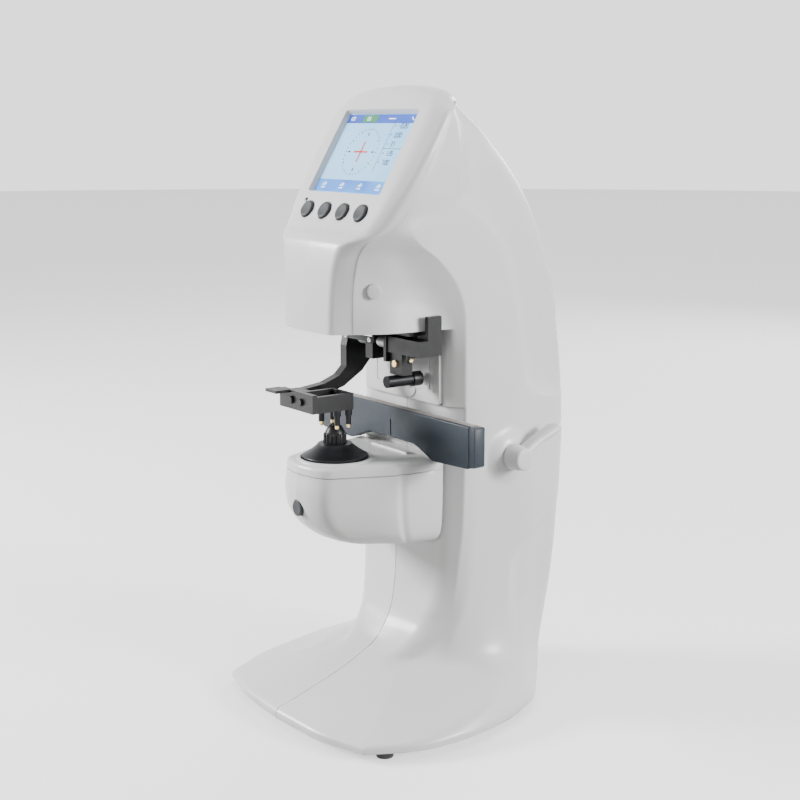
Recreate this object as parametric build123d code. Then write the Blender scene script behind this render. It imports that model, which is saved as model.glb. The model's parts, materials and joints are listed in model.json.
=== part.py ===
"""Automatic lensmeter: a bench instrument that reads the power of a spectacle lens.

The model is laid out about the optical axis: X = 0 is the plane of symmetry, Y = 0 is the
optical axis with the operator at -Y, and Z = 0 is the table.  save() then moves every piece
so that the row frame's origin lies on the table under the middle of the instrument.
All lengths are in millimetres.
"""

from build123d import *
from math import atan2, cos, degrees, pi, radians, sin, tan
import os

os.makedirs("parts", exist_ok=True)

# ---------------------------------------------------------------- driving dimensions
AXIS_TO_ORIGIN = 60.0       # the optical axis stands this far in front of the origin
WALL = 2.6                  # moulded housing walls
GAP = 0.3                   # clearance between pieces that move or lift off

FOOT_R = 7.0
FEET = [(84.5, -18.5), (-84.5, -18.5), (66.0, 112.0), (-66.0, 112.0)]
SHELL_BOTTOM = 4.2

SPINE_HALF = 61.5           # half width of the C-shaped spine
CORE_HALF = 46.0            # half width of the column's narrower front
COLUMN_FRONT = 53.0
THROAT_WALL = 60.0
THROAT_COVER_FACE = 57.6

HEAD_FLOOR_Z = 279.0
CHIN_TOP_Z = 187.0
CHIN_BOTTOM_Z = 125.0

DISPLAY_LEAN = 31.0         # degrees back from upright
DISPLAY_TOP = (43.4, 423.8) # Y, Z of the middle of the window's top edge
DISPLAY_W = 82.4
DISPLAY_H = 61.6
BEZEL_PROUD = 3.6           # the bezel stands this far proud of the window

KEY_PITCH = 21.5
KEY_R = 6.2
KEY_Z = 355.8
KEY_TRAVEL = 1.2

NOSE_R = 23.2
NOSE_TIP_Z = 211.0

TABLE_Y = 48.1              # the lens table's front face at rest
TABLE_T = 9.0
TABLE_HALF = 95.3
TABLE_TOP = 218.1
TABLE_TRAVEL = 30.0

LEVER_Y, LEVER_Z = 107.0, 185.6
PINION_MODULE = 1.5
PINION_TEETH = 24
PINION_R = PINION_MODULE * PINION_TEETH / 2

PIVOT_Y, PIVOT_Z = 35.7, 267.5   # shaft of the lens holder and the marker
HOLDER_X = -24.0                 # the holder's arm passes left of the light path
PIN_X, PIN_Y = 9.8, 4.7
PIN_TIP_Z = 209.0

# rear profile of the housing, as Y, Z
REAR = [(169.5, 100), (171, 132), (174, 162), (174.5, 201), (172, 246), (168, 276),
        (159, 313), (148, 343), (132, 371.5), (110, 399.5), (86, 420), (70, 431)]
# joint between the head's front panel and the side shells, as Y, Z
SEAM = [(-9, HEAD_FLOOR_Z), (-9.5, 308), (-7.5, 330), (4, 348), (18, 361), (31, 389.5), (52, 425), (58, 434)]


# ---------------------------------------------------------------- helpers
def save(name, shape):
    """Write one named sub-part in the row frame."""
    solids = list(shape.solids())
    moved = [s.moved(Location((0, -AXIS_TO_ORIGIN, 0))) for s in solids]
    export_step(moved[0] if len(moved) == 1 else Compound(children=moved), f"parts/{name}.step")
    print(f"{name:22s} solids {len(moved):3d}  volume {sum(s.volume for s in moved):10.1f}")


def box(x, y, z):
    """Block between pairs of coordinates."""
    return Pos((x[0] + x[1]) / 2, (y[0] + y[1]) / 2, (z[0] + z[1]) / 2) * Box(
        abs(x[1] - x[0]), abs(y[1] - y[0]), abs(z[1] - z[0]))


def rod(axis, start, end, centre, radius, hole=0.0):
    """Cylinder along X, Y or Z from start to end; centre gives the other two coordinates."""
    length = end - start
    middle = (start + end) / 2
    if axis == "X":
        place = Pos(middle, centre[0], centre[1]) * Rot(0, 90, 0)
    elif axis == "Y":
        place = Pos(centre[0], middle, centre[1]) * Rot(90, 0, 0)
    else:
        place = Pos(centre[0], centre[1], middle)
    body = place * Cylinder(radius, length)
    if hole:
        body -= place * Cylinder(hole, length + 1)
    return body


def side_face(points):
    """Closed outline in the YZ plane, as a face at X = 0."""
    return make_face(Polyline([(0, y, z) for y, z in points], close=True))


def thick_side(points, x0, x1):
    """YZ outline extruded between two X positions."""
    return Pos(x0, 0, 0) * extrude(side_face(points), amount=x1 - x0, dir=(1, 0, 0))


def plan_face(points, z):
    return make_face(Polyline([(x, y, z) for x, y in points], close=True))


def smooth(points, steps):
    """Points along a smooth curve through the given YZ points."""
    curve = Spline([(0, y, z) for y, z in points])
    places = [curve @ (i / steps) for i in range(steps + 1)]
    return [(p.Y, p.Z) for p in places]


def mirrored_plan(half, z):
    """Closed plan outline from its right half, front to rear."""
    other = [(-x, y) for x, y in reversed(half) if x > 0]
    return plan_face(half + other, z)


def face_y(z):
    """Y of the bezel's front plane at a height."""
    return DISPLAY_TOP[0] - BEZEL_PROUD / cos(radians(DISPLAY_LEAN)) - (DISPLAY_TOP[1] - z) * tan(
        radians(DISPLAY_LEAN))


# ---------------------------------------------------------------- housing forms
# plan outlines of the base and its flare, right half, front to rear, by height
FLARE = {
    SHELL_BOTTOM: [(0, -53), (48, -49), (86, -35), (104, 0), (107, 48), (84, 115), (46, 148), (0, 155)],
    14: [(0, -54), (49, -50), (88, -36), (105.5, 0), (108.3, 48), (86, 116), (47, 150), (0, 157)],
    22: [(0, -44), (44, -40), (80, -28), (98, 4), (101, 50), (81, 115), (46, 150), (0, 158)],
    33: [(0, 8), (36, 10), (58, 22), (74, 42), (80, 66), (72, 112), (46, 152), (0, 160)],
    48: [(0, 36), (32, 38), (50, 48), (63, 62), (70, 82), (66, 116), (46, 155), (0, 163)],
    75: [(0, 49), (32, 50), (47, 57), (58, 68), (64, 86), (62.5, 118), (46, 160), (0, 167)],
    120: [(0, 53), (32, 53.5), (46, 58), (58, 67), (61.5, 84), (61.5, 120), (46, 166), (0, 171)],
}
# plan outlines of the head behind its front panel
HEAD = {
    HEAD_FLOOR_Z: [(36, -9), (47, 11), (51, 58), (58, 90)],
    308: [(37, -9.5), (48, 11), (53, 58), (58, 90)],
    330: [(42, -12), (51, 15), (56, 58), (60, 90)],
    348: [(53, -12), (58, 25), (60, 60), (61, 90)],
    372: [(63, 8), (65, 40), (65, 70), (62, 100)],
    400: [(66, 25), (67, 50), (66, 72), (62, 96)],
    437: [(64, 48), (64, 60), (62, 75), (58, 90)],
}
FLARE_CENTRE_Y = 60.0
PLAN_STEPS = 36
REAR_CORNER = 12.0


def pull_in(points, inset):
    """Move outline points towards the middle of the base, which leaves a wall."""
    moved = []
    for x, y in points:
        dx, dy = x, y - FLARE_CENTRE_Y
        length = max((dx * dx + dy * dy) ** 0.5, 1.0)
        moved.append((max(x - inset * dx / length, 0.0), y - inset * dy / length))
    return moved


def closed_plan(half, z):
    """Smooth closed plan outline from its right half, in short straight steps."""
    other = [(-x, y) for x, y in reversed(half) if x > 0.01]
    curve = Spline([(x, y, z) for x, y in half + other], periodic=True)
    return make_face(Polyline([curve @ (i / PLAN_STEPS) for i in range(PLAN_STEPS)], close=True))


def flare(inset):
    """Base and lower column: a loft of smooth plan outlines."""
    return loft([closed_plan(pull_in(half, inset), z) for z, half in FLARE.items()], ruled=True)


def across(face, half):
    """Face in the YZ plane extruded to both sides."""
    return Pos(-half, 0, 0) * extrude(face, amount=2 * half, dir=(1, 0, 0))


def inset_face(face, inset):
    return offset(face, amount=-inset, kind=Kind.INTERSECTION) if inset else face


def spine(inset):
    """C-shaped back of the instrument, with chamfered rear corners."""
    arch = [(69, 102), (70, 232), (68, 284), (58.5, 312), (47, 325), (31, 337), (10, 347)]
    outline = side_face(arch + SEAM[4:] + smooth(list(reversed(REAR)), 16))
    half = SPINE_HALF - inset
    body = across(inset_face(outline, inset), half)
    corners = [e for e in body.edges() if abs(abs(e.center().X) - half) < 0.01 and e.center().Y > 125
               and e.center().Z > 150]
    return chamfer(corners, REAR_CORNER - 0.59 * inset)


def core(inset):
    """Narrower front of the column and the throat's back wall."""
    outline = [(COLUMN_FRONT, 104), (COLUMN_FRONT, 186.4), (THROAT_WALL, 186.4), (THROAT_WALL, 282), (90, 300),
               (90, 104)]
    return across(inset_face(side_face(outline), inset), CORE_HALF + 3 - inset)


def head(inset):
    """Head behind its front panel."""
    levels = [mirrored_plan([(x - inset, y) for x, y in half], z) for z, half in HEAD.items()]
    outline = SEAM + [(70, 431), (84, 421), (90, 415), (90, HEAD_FLOOR_Z)]
    return loft(levels, ruled=True) & across(inset_face(side_face(outline), inset), 80)


def housing(inset=0.0):
    """Whole outer form of the side shells, or its hollow."""
    return flare(inset) + spine(inset) + core(inset) + head(inset)


# ---------------------------------------------------------------- side shells and rear cover
COVER_HALF = 42.0
COVER_Z = (28.0, 318.0)
COVER_Y = (120.0, 190.0)
CHIN_WINDOW = ((-34, 34), (50, 58), (132, 180))
ROD_X, ROD_Z, ROD_R = 24.0, 206.5, 4.0
SHAFT_R = 5.0
BUSH_R = 7.5
BOSS_END = 66.4
CAP_R = 5.2
CAP_NORMAL = (0.888, -0.46)
CAP_AT = (43.6, 3.0, 308.0)
INLET_X, SWITCH_X, SOCKET_Z = -16.0, 22.0, 62.0
INLET_W, INLET_H = 27.0, 20.0
SWITCH_W, SWITCH_H = 13.0, 19.0


def cap_cylinder(side, radius, inwards, outwards):
    """Disc square to the head's slanted side wall."""
    nx, ny = CAP_NORMAL[0] * side, CAP_NORMAL[1]
    middle = (outwards - inwards) / 2
    centre = (CAP_AT[0] * side + nx * middle, CAP_AT[1] + ny * middle, CAP_AT[2])
    return Plane(origin=centre, z_dir=(nx, ny, 0)) * Cylinder(radius, outwards + inwards)


def make_shell():
    """Hollow housing, before it is split into its pieces."""
    shell = housing() - housing(WALL)
    shell -= head(WALL).moved(Location((0, -3.3, 0)))
    shell -= box((-30, 30), (-30, 52), (270, 290))
    shell -= box(*CHIN_WINDOW)
    for x in (-ROD_X, ROD_X):
        shell -= rod("Y", 50, 72, (x, ROD_Z), ROD_R + 0.8)
    boss = Pos((SPINE_HALF - 6 + BOSS_END) / 2, LEVER_Y, LEVER_Z) * Rot(0, 90, 0) * Cone(
        19, 10.5, BOSS_END - SPINE_HALF + 6)
    shell += boss - box((0, SPINE_HALF - WALL), (60, 150), (150, 220))
    shell -= rod("X", 40, 90, (LEVER_Y, LEVER_Z), BUSH_R)
    for side in (-1, 1):
        shell -= cap_cylinder(side, CAP_R, 8, 6)
    return shell


def split_shell(shell):
    cover_block = box((-COVER_HALF, COVER_HALF), COVER_Y, COVER_Z)
    cover = shell & cover_block
    rest = shell - box((-COVER_HALF - GAP, COVER_HALF + GAP), COVER_Y, (COVER_Z[0] - GAP, COVER_Z[1] + GAP))
    left = rest & box((-200, 0), (-100, 250), (-5, 460))
    right = rest & box((0, 200), (-100, 250), (-5, 460))
    return left, right, cover


def make_rear_cover(cover):
    """Rear cover with its vents and the openings for the mains inlet and switch."""
    for row in range(7):
        z = 236 + row * 8
        for x in (-20, 20):
            cover -= box((x - 14, x + 14), (120, 190), (z - 1.4, z + 1.4))
    cover -= box((INLET_X - INLET_W / 2, INLET_X + INLET_W / 2), (120, 190),
                 (SOCKET_Z - INLET_H / 2, SOCKET_Z + INLET_H / 2))
    cover -= box((SWITCH_X - SWITCH_W / 2, SWITCH_X + SWITCH_W / 2), (120, 190),
                 (SOCKET_Z - SWITCH_H / 2, SOCKET_Z + SWITCH_H / 2))
    return cover


# ---------------------------------------------------------------- head panel and display
WINDOW_PLANE = Plane(
    origin=(0, DISPLAY_TOP[0] - DISPLAY_H / 2 * sin(radians(DISPLAY_LEAN)),
            DISPLAY_TOP[1] - DISPLAY_H / 2 * cos(radians(DISPLAY_LEAN))),
    x_dir=(1, 0, 0),
    z_dir=(0, -cos(radians(DISPLAY_LEAN)), sin(radians(DISPLAY_LEAN))),
)
KEY_DOWN = -(WINDOW_PLANE.origin.Z - KEY_Z) / cos(radians(DISPLAY_LEAN))
KEY_XS = [KEY_PITCH * (i - 1.5) for i in range(4)]
LAMP_XY = (-39.0, KEY_DOWN + 7.0)


def on_window(x, y, z0, z1, shape_maker):
    """Shape standing square to the display, from z0 to z1 above the window."""
    return WINDOW_PLANE * Pos(x, y, (z0 + z1) / 2) * shape_maker(z1 - z0)


def panel_form(inset):
    """Outer form of the head's front panel, or its hollow."""
    front = [(64, 443.2), (57, 443.2), (face_y(438), 438), (face_y(349), 349), (-15.5, 343.5), (-20.5, 336),
             (-22.6, 318), (-24, HEAD_FLOOR_Z)]
    back = [(y - 0.15, z) for y, z in SEAM] + [(66, 440)]
    side = across(inset_face(side_face(front + back), inset), 80)
    half = [(0, 443.3), (44, 441.6), (58, 437.5), (65.5, 427), (66, 374), (61, 357), (49, 343), (38, 331),
            (35, 312), (35, HEAD_FLOOR_Z - 1)]
    points = half + [(-x, z) for x, z in reversed(half) if x > 0]
    outline = make_face(Polyline([(x, 0, z) for x, z in points], close=True))
    view = Pos(0, -60, 0) * extrude(inset_face(outline, inset), amount=160, dir=(0, 1, 0))
    wedge = [(29, -30), (29, -21.5), (40, -3), (90, 60), (90, 120)]
    low = mirrored_plan([(x - inset, y) for x, y in wedge], 260)
    corner = extrude(low, amount=75, dir=(0, 0, 1))
    upper = box((-90, 90), (-60, 120), (334, 460))
    return side & view & (corner + upper)


def make_head_panel():
    panel = panel_form(0)
    hollow = panel_form(WALL)
    panel -= hollow + hollow.moved(Location((0, 3, 0))) + hollow.moved(Location((0, 6, 0)))
    panel -= on_window(0, 0, -12, 12, lambda h: Box(DISPLAY_W + 0.6, DISPLAY_H + 0.6, h))
    for x in KEY_XS:
        panel -= on_window(x, KEY_DOWN, -6, 8, lambda h: Cylinder(KEY_R + GAP, h))
    panel -= on_window(*LAMP_XY, -6, 8, lambda h: Cylinder(1.8, h))
    return panel


def make_display():
    top = BEZEL_PROUD - WALL - 0.1
    save("display_window", on_window(0, 0, top - 1.6, top, lambda h: Box(DISPLAY_W + 5, DISPLAY_H + 5, h)))
    save("lcd_module", on_window(0, 0, top - 7.6, top - 1.6, lambda h: Box(DISPLAY_W + 9, DISPLAY_H + 8, h)))


def make_menu_keys():
    wall_back = BEZEL_PROUD - WALL
    for number, x in enumerate(KEY_XS, 1):
        button = on_window(x, KEY_DOWN, wall_back - 1.3, BEZEL_PROUD + 1.4, lambda h: Cylinder(KEY_R, h))
        rim = button.edges().sort_by_distance(WINDOW_PLANE.from_local_coords((x, KEY_DOWN, 20)))[0]
        button = fillet(rim, 0.9)
        button += on_window(x, KEY_DOWN, wall_back - 1.3, wall_back - 0.1, lambda h: Cylinder(KEY_R + 1.2, h))
        save(f"menu_key_{number}", button)
    mat_top = wall_back - 1.3 - KEY_TRAVEL - GAP
    mat = on_window(0, KEY_DOWN, mat_top - 1.2, mat_top, lambda h: Box(80, 15, h))
    save("key_mat", mat)
    save("key_board", on_window(0, KEY_DOWN, mat_top - 2.8, mat_top - 1.2, lambda h: Box(82, 16, h)))
    save("status_lamp", on_window(*LAMP_XY, wall_back - 1.5, BEZEL_PROUD + 0.4, lambda h: Cylinder(1.7, h)))


# ---------------------------------------------------------------- lower housing under the nosepiece
CHIN_SEAM_Z = 179.5
CHIN_BACK = COLUMN_FRONT - 0.1
MEMORY_Z, MEMORY_R = 155.7, 5.7
MEMORY_FACE = -31.4


def chin_form(inset):
    """Bowl-shaped lower housing: its plan outline and its side outline in one."""
    plan = [(0, -33), (25, -26), (41, 6), (46, 24), (46.5, CHIN_BACK + 10)]
    block = extrude(inset_face(mirrored_plan(plan, CHIN_BOTTOM_Z - 5), inset), amount=80, dir=(0, 0, 1))
    bowl = smooth([(-31, CHIN_TOP_Z), (-33, 168), (MEMORY_FACE, MEMORY_Z), (-23, 140.5), (-8, 130.5), (12, 126),
                   (30, CHIN_BOTTOM_Z)], 16)
    outline = side_face(bowl + [(CHIN_BACK + 10, CHIN_BOTTOM_Z), (CHIN_BACK + 10, CHIN_TOP_Z)])
    return block & across(inset_face(outline, inset), 60)


def make_chin():
    solid = chin_form(0)
    behind = box((-80, 80), (CHIN_BACK, 90), (100, 200))
    shell = solid - chin_form(WALL) - behind
    bowl = shell & box((-80, 80), (-60, 90), (100, CHIN_SEAM_Z))
    bowl -= rod("Y", -40, -20, (0, MEMORY_Z), MEMORY_R + GAP)
    save("chin_housing", bowl)
    lid = shell & box((-80, 80), (-60, 90), (CHIN_SEAM_Z, 200))
    lid += rod("Z", CHIN_TOP_Z - 0.5, CHIN_TOP_Z + 0.8, (0, 0), NOSE_R + 2.2)
    lid -= rod("Z", 170, 200, (0, 0), 15)
    save("chin_cover", lid)
    back = MEMORY_FACE + 7.6
    key = rod("Y", MEMORY_FACE - 1.3, back, (0, MEMORY_Z), MEMORY_R)
    key += rod("Y", back - 1.2, back, (0, MEMORY_Z), MEMORY_R + 0.9)
    save("memory_key", key)
    board_y = back + KEY_TRAVEL + GAP
    save("memory_key_board", box((-12, 12), (board_y, board_y + 1.6), (MEMORY_Z - 9, MEMORY_Z + 9)))


# ---------------------------------------------------------------- optics
FRAME_Y = (84.0, 98.0)
HEAD_ARM_Z = (306.0, 316.0)
CHIN_ARM_Z = (146.0, 156.0)
LAMP_R = 16.0
TUBE_R = 13.0


def make_nosepiece():
    base = CHIN_TOP_Z + 0.8
    skirt = Pos(0, 0, base + 1) * Cylinder(NOSE_R, 2) + Pos(0, 0, base + 2 + 4) * Cone(NOSE_R, 12.5, 8)
    skirt -= rod("Z", base - 1, base + 20, (0, 0), 6)
    save("nosepiece_skirt", skirt)
    stem_z = base + 10
    stem = rod("Z", stem_z, 206, (0, 0), 7.6)
    for i in range(16):
        rib = Rot(0, 0, i * 360 / 16) * Pos(7.6, 0, (stem_z + 205) / 2) * Box(1.5, 1.3, 205 - stem_z)
        stem += rib
    tip = Pos(0, 0, (206 + NOSE_TIP_Z) / 2) * Cone(7.6, 4.2, NOSE_TIP_Z - 206)
    save("nosepiece", stem + tip - rod("Z", stem_z - 1, NOSE_TIP_Z + 1, (0, 0), 2.6))


def make_optics():
    arm_x = (-20, 20)
    casting = box((-15, 15), FRAME_Y, (14, HEAD_ARM_Z[1]))
    casting += box(arm_x, (-20, FRAME_Y[1]), HEAD_ARM_Z)
    casting += box(arm_x, (-20, FRAME_Y[1]), CHIN_ARM_Z)
    casting += box((-34, 34), FRAME_Y, (ROD_Z - 11, ROD_Z + 11))
    casting += box((-36, 36), (FRAME_Y[0] - 14, FRAME_Y[1] + 6), (7.2, 14))
    casting -= rod("Z", 290, 330, (0, 0), LAMP_R)
    casting -= rod("Z", 140, 160, (0, 0), TUBE_R)
    for x in (-ROD_X, ROD_X):
        casting -= rod("Y", 70, 110, (x, ROD_Z), 6.5)
    save("optical_frame", casting)
    save("lamp_housing", rod("Z", 296, 334, (0, 0), LAMP_R, 12) + rod("Z", 334, 337, (0, 0), LAMP_R)
         + rod("Z", 316, 319, (0, 0), 18, 15))
    save("lamp", rod("Z", 330, 334, (0, 0), 4) + Pos(0, 0, 330) * Sphere(3))
    lens = rod("Z", 298, 302, (0, 0), 12)
    save("collimator_lens", lens & (Pos(0, 0, 262) * Sphere(40)) & rod("Z", 290, 310, (0, 0), 12))
    tube = rod("Z", 138, 184, (0, 0), TUBE_R, 10) + rod("Z", 156, 158, (0, 0), 17, 12)
    save("sensor_tube", tube)
    save("objective_lens", rod("Z", 176, 180, (0, 0), 10) & (Pos(0, 0, 140) * Sphere(40)))
    save("grid_plate", rod("Z", 160, 161.5, (0, 0), 10))
    save("sensor_board", box((-12, 12), (-12, 12), (136.4, 138)) + box((-6, 6), (-6, 6), (138, 139.6)))


# ---------------------------------------------------------------- lens table and its drive
RACK_PITCH = pi * PINION_MODULE
PINION_X = (38.0, 46.0)
YOKE_Y = (140.0, 148.0)
TABLE_MID_BOTTOM, TABLE_WING_BOTTOM, TABLE_TIP_BOTTOM = 195.6, 187.0, 190.5


def table_outline():
    """Front view of the lens table: deep wings and a shallow middle over the nosepiece skirt."""
    half = [(0, TABLE_TOP), (TABLE_HALF, TABLE_TOP), (TABLE_HALF, TABLE_TIP_BOTTOM), (88, TABLE_WING_BOTTOM + 2),
            (51, TABLE_WING_BOTTOM), (27, TABLE_MID_BOTTOM), (0, TABLE_MID_BOTTOM)]
    return half + [(-x, z) for x, z in reversed(half) if x > 0]


def make_table():
    outline = make_face(Polyline([(x, TABLE_Y, z) for x, z in table_outline()], close=True))
    plate = extrude(outline, amount=TABLE_T, dir=(0, 1, 0))
    upper = box((-200, 200), (0, 100), (TABLE_TOP - 1.6, 300))
    trim = (plate & upper) & box((-TABLE_HALF + 1, TABLE_HALF - 1), (TABLE_Y + 2.2, TABLE_Y + TABLE_T), (0, 300))
    plate -= trim
    plate -= box((-0.6, 0.6), (TABLE_Y - 1, TABLE_Y + 0.8), (TABLE_MID_BOTTOM + 1, TABLE_TOP - 9))
    save("lens_table", plate)
    save("table_rule", trim)
    rods = [rod("Y", TABLE_Y + TABLE_T, YOKE_Y[1] + 3, (x, ROD_Z), ROD_R) for x in (-ROD_X, ROD_X)]
    save("table_rods", Compound(children=rods))
    yoke = box((-34, 34), YOKE_Y, (ROD_Z - 7, ROD_Z + 7)) + box((34, 48), YOKE_Y, (ROD_Z - 0.9, ROD_Z + 7))
    for x in (-ROD_X, ROD_X):
        yoke -= rod("Y", 130, 160, (x, ROD_Z), ROD_R)
    save("rod_yoke", yoke)
    bushes = [rod("Y", FRAME_Y[0] - 1, FRAME_Y[1] + 1, (x, ROD_Z), 6.5, ROD_R + 0.05) for x in (-ROD_X, ROD_X)]
    save("rod_bushes", Compound(children=bushes))


def make_drive():
    """Rack on the yoke, over a pinion on the lever's shaft."""
    addendum = PINION_MODULE * 0.9
    dedendum = PINION_MODULE * 1.25
    backlash = 0.15
    points = []
    half_pitch = RACK_PITCH / 4 - backlash
    for i in range(PINION_TEETH):
        top = pi / 2 + i * 2 * pi / PINION_TEETH
        for radius, half in ((PINION_R - dedendum, half_pitch * 1.45), (PINION_R, half_pitch),
                             (PINION_R + addendum, half_pitch * 0.45)):
            points.append((radius, top - half / radius))
        for radius, half in ((PINION_R + addendum, half_pitch * 0.45), (PINION_R, half_pitch),
                             (PINION_R - dedendum, half_pitch * 1.45)):
            points.append((radius, top + half / radius))
    outline = [(LEVER_Y + r * cos(a), LEVER_Z + r * sin(a)) for r, a in points]
    gear = thick_side(outline, *PINION_X) - rod("X", 20, 60, (LEVER_Y, LEVER_Z), SHAFT_R)
    for i in range(5):
        angle = 2 * pi * i / 5
        gear -= rod("X", 20, 60, (LEVER_Y + 11 * cos(angle), LEVER_Z + 11 * sin(angle)), 3)
    save("drive_pinion", gear)

    pitch_z = LEVER_Z + PINION_R
    back_z = pitch_z + dedendum + 4
    teeth = [(YOKE_Y[0], back_z), (LEVER_Y - 2.5 * RACK_PITCH, back_z)]
    start = LEVER_Y - 2 * RACK_PITCH
    teeth.append((teeth[-1][0], pitch_z + dedendum))
    for i in range(8):
        middle = start + (i - 0.5) * RACK_PITCH + RACK_PITCH
        flank = tan(radians(20))
        for dy, dz in ((-half_pitch - dedendum * flank, dedendum), (-half_pitch + addendum * flank, -addendum),
                       (half_pitch - addendum * flank, -addendum), (half_pitch + dedendum * flank, dedendum)):
            teeth.append((middle + dy, pitch_z + dz))
    teeth.append((YOKE_Y[0], pitch_z + dedendum))
    save("table_rack", thick_side(teeth, PINION_X[0] + 1, PINION_X[1] - 1))

    save("lever_shaft", rod("X", 24, 78, (LEVER_Y, LEVER_Z), SHAFT_R))
    bracket = box((27, 33), (FRAME_Y[1], 118), (172, 196)) - rod("X", 20, 40, (LEVER_Y, LEVER_Z), BUSH_R)
    save("shaft_bracket", bracket)
    bushes = [rod("X", 27, 33, (LEVER_Y, LEVER_Z), BUSH_R, SHAFT_R + 0.05),
              rod("X", SPINE_HALF - WALL - 1, BOSS_END - 0.4, (LEVER_Y, LEVER_Z), BUSH_R, SHAFT_R + 0.05)]
    save("shaft_bushes", Compound(children=bushes))


def make_lever():
    """Body-coloured lever: a round hub with a flat rounded handle."""
    reach, lift = 35.0, 19.5
    length = (reach ** 2 + lift ** 2) ** 0.5
    angle = degrees(atan2(lift, reach))
    hub = rod("X", BOSS_END + 0.6, 80, (LEVER_Y, LEVER_Z), 7.6)
    hub = fillet(hub.edges().filter_by(GeomType.CIRCLE), 0.8)
    handle = Pos(0, length / 2, 0) * Box(7, length, 12)
    handle += Pos(0, length, 0) * Rot(0, 90, 0) * Cylinder(6, 7)
    handle = Pos(74.5, LEVER_Y, LEVER_Z) * Rot(angle, 0, 0) * handle
    lever = hub + handle
    save("side_lever", lever - rod("X", 60, 78, (LEVER_Y, LEVER_Z), SHAFT_R))


# ---------------------------------------------------------------- lens holder and marker in the throat
ARM_X = (HOLDER_X - 4, HOLDER_X + 3.5)
PIVOT_R = 2.5
FRAME_BOX = ((-12.6, 12.6), (-22.5, 7.2), (223.0, 234.5))


def make_holder():
    outline = [(26, 271), (24, 262), (24, 247), (18, 241), (6, 236.5), (-10, 234.5), (-22.4, 234.5), (-22.4, 224), (-8, 224),
               (6, 228.5), (22, 233), (38, 243), (46, 252), (46, 268), (40, 272)]
    arm = thick_side(outline, *ARM_X) - rod("X", -40, 0, (PIVOT_Y, PIVOT_Z), PIVOT_R + 0.05)
    save("holder_arm", arm)
    block = box((-29.6, 12.6), (-26.5, -22.5), (223, 236))
    tab = box((-30, -16), (-38, -26.5), (234.4, 236.4))
    for x in (-14, -2):
        block -= rod("Y", -27, -22, (x, 229.5), 1.6)
    save("finger_tab", block + tab)
    frame = box(*FRAME_BOX) - box((-9.2, 9.2), (-19.5, 4.2), (225.2, 240)) - rod("Z", 200, 240, (0, 0), 6)
    frame += box((-20.4, -12.6), (-22.5, -12), (224, 234.5))
    save("pin_frame", frame)
    pins, tips = [], []
    for x in (-PIN_X, PIN_X):
        for y in (-PIN_Y, PIN_Y):
            pins.append(rod("Z", 212.4, 223, (x, y), 2.0) + rod("Z", 219, 223, (x, y), 2.7))
            tips.append(rod("Z", 210.6, 212.4, (x, y), 1.5) + Pos(x, y, 210.6) * Sphere(1.5))
    save("lens_pins", Compound(children=pins))
    save("pin_tips", Compound(children=tips))
    screws = [rod("Y", -27.3, -22.6, (x, 229.5), 1.6) + rod("Y", -28.3, -26.5, (x, 229.5), 2.6) for x in (-14, -2)]
    save("holder_screws", Compound(children=screws))


def make_bracket():
    plate = box((-32, 46), (30, 57), (275.6, 278.8))
    plate += box((-5, 3.5), (30, 57), (255, 275.6)) + box((16.5, 19.5), (30, 57), (255, 275.6))
    plate -= rod("X", -40, 40, (PIVOT_Y, PIVOT_Z), PIVOT_R)
    save("mechanism_bracket", plate)
    save("pivot_shaft", rod("X", -30, 44, (PIVOT_Y, PIVOT_Z), PIVOT_R))


def make_marker():
    bar = box((19.8, 56.5), (31, 42), (262, 273))
    bar += box((53, 56.5), (38.5, 50), (262, 289.5))
    bar -= rod("X", 10, 50, (PIVOT_Y, PIVOT_Z), PIVOT_R + 0.05)
    save("marking_lever", bar)
    carriage = box((20, 34), (33, 42), (246.5, 262)) - rod("Y", 30, 37, (27, 254.5), 1.4)
    save("marker_carriage", carriage)
    save("ink_cartridge", rod("Y", 25, 46, (27, 242.2), 4.2))
    knob = rod("Y", 46, 53.5, (27, 242.2), 5.2) + Pos(27, 55, 242.2) * Rot(-90, 0, 0) * Cone(4.5, 1.2, 3)
    save("marker_knob", knob)
    save("marker_screw", rod("Y", 31.4, 36, (27, 254.5), 1.4) + rod("Y", 31.4, 33, (27, 254.5), 2.4))


# ---------------------------------------------------------------- electronics and rear sockets
SOCKET_FACE_Y = 167.2


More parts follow.
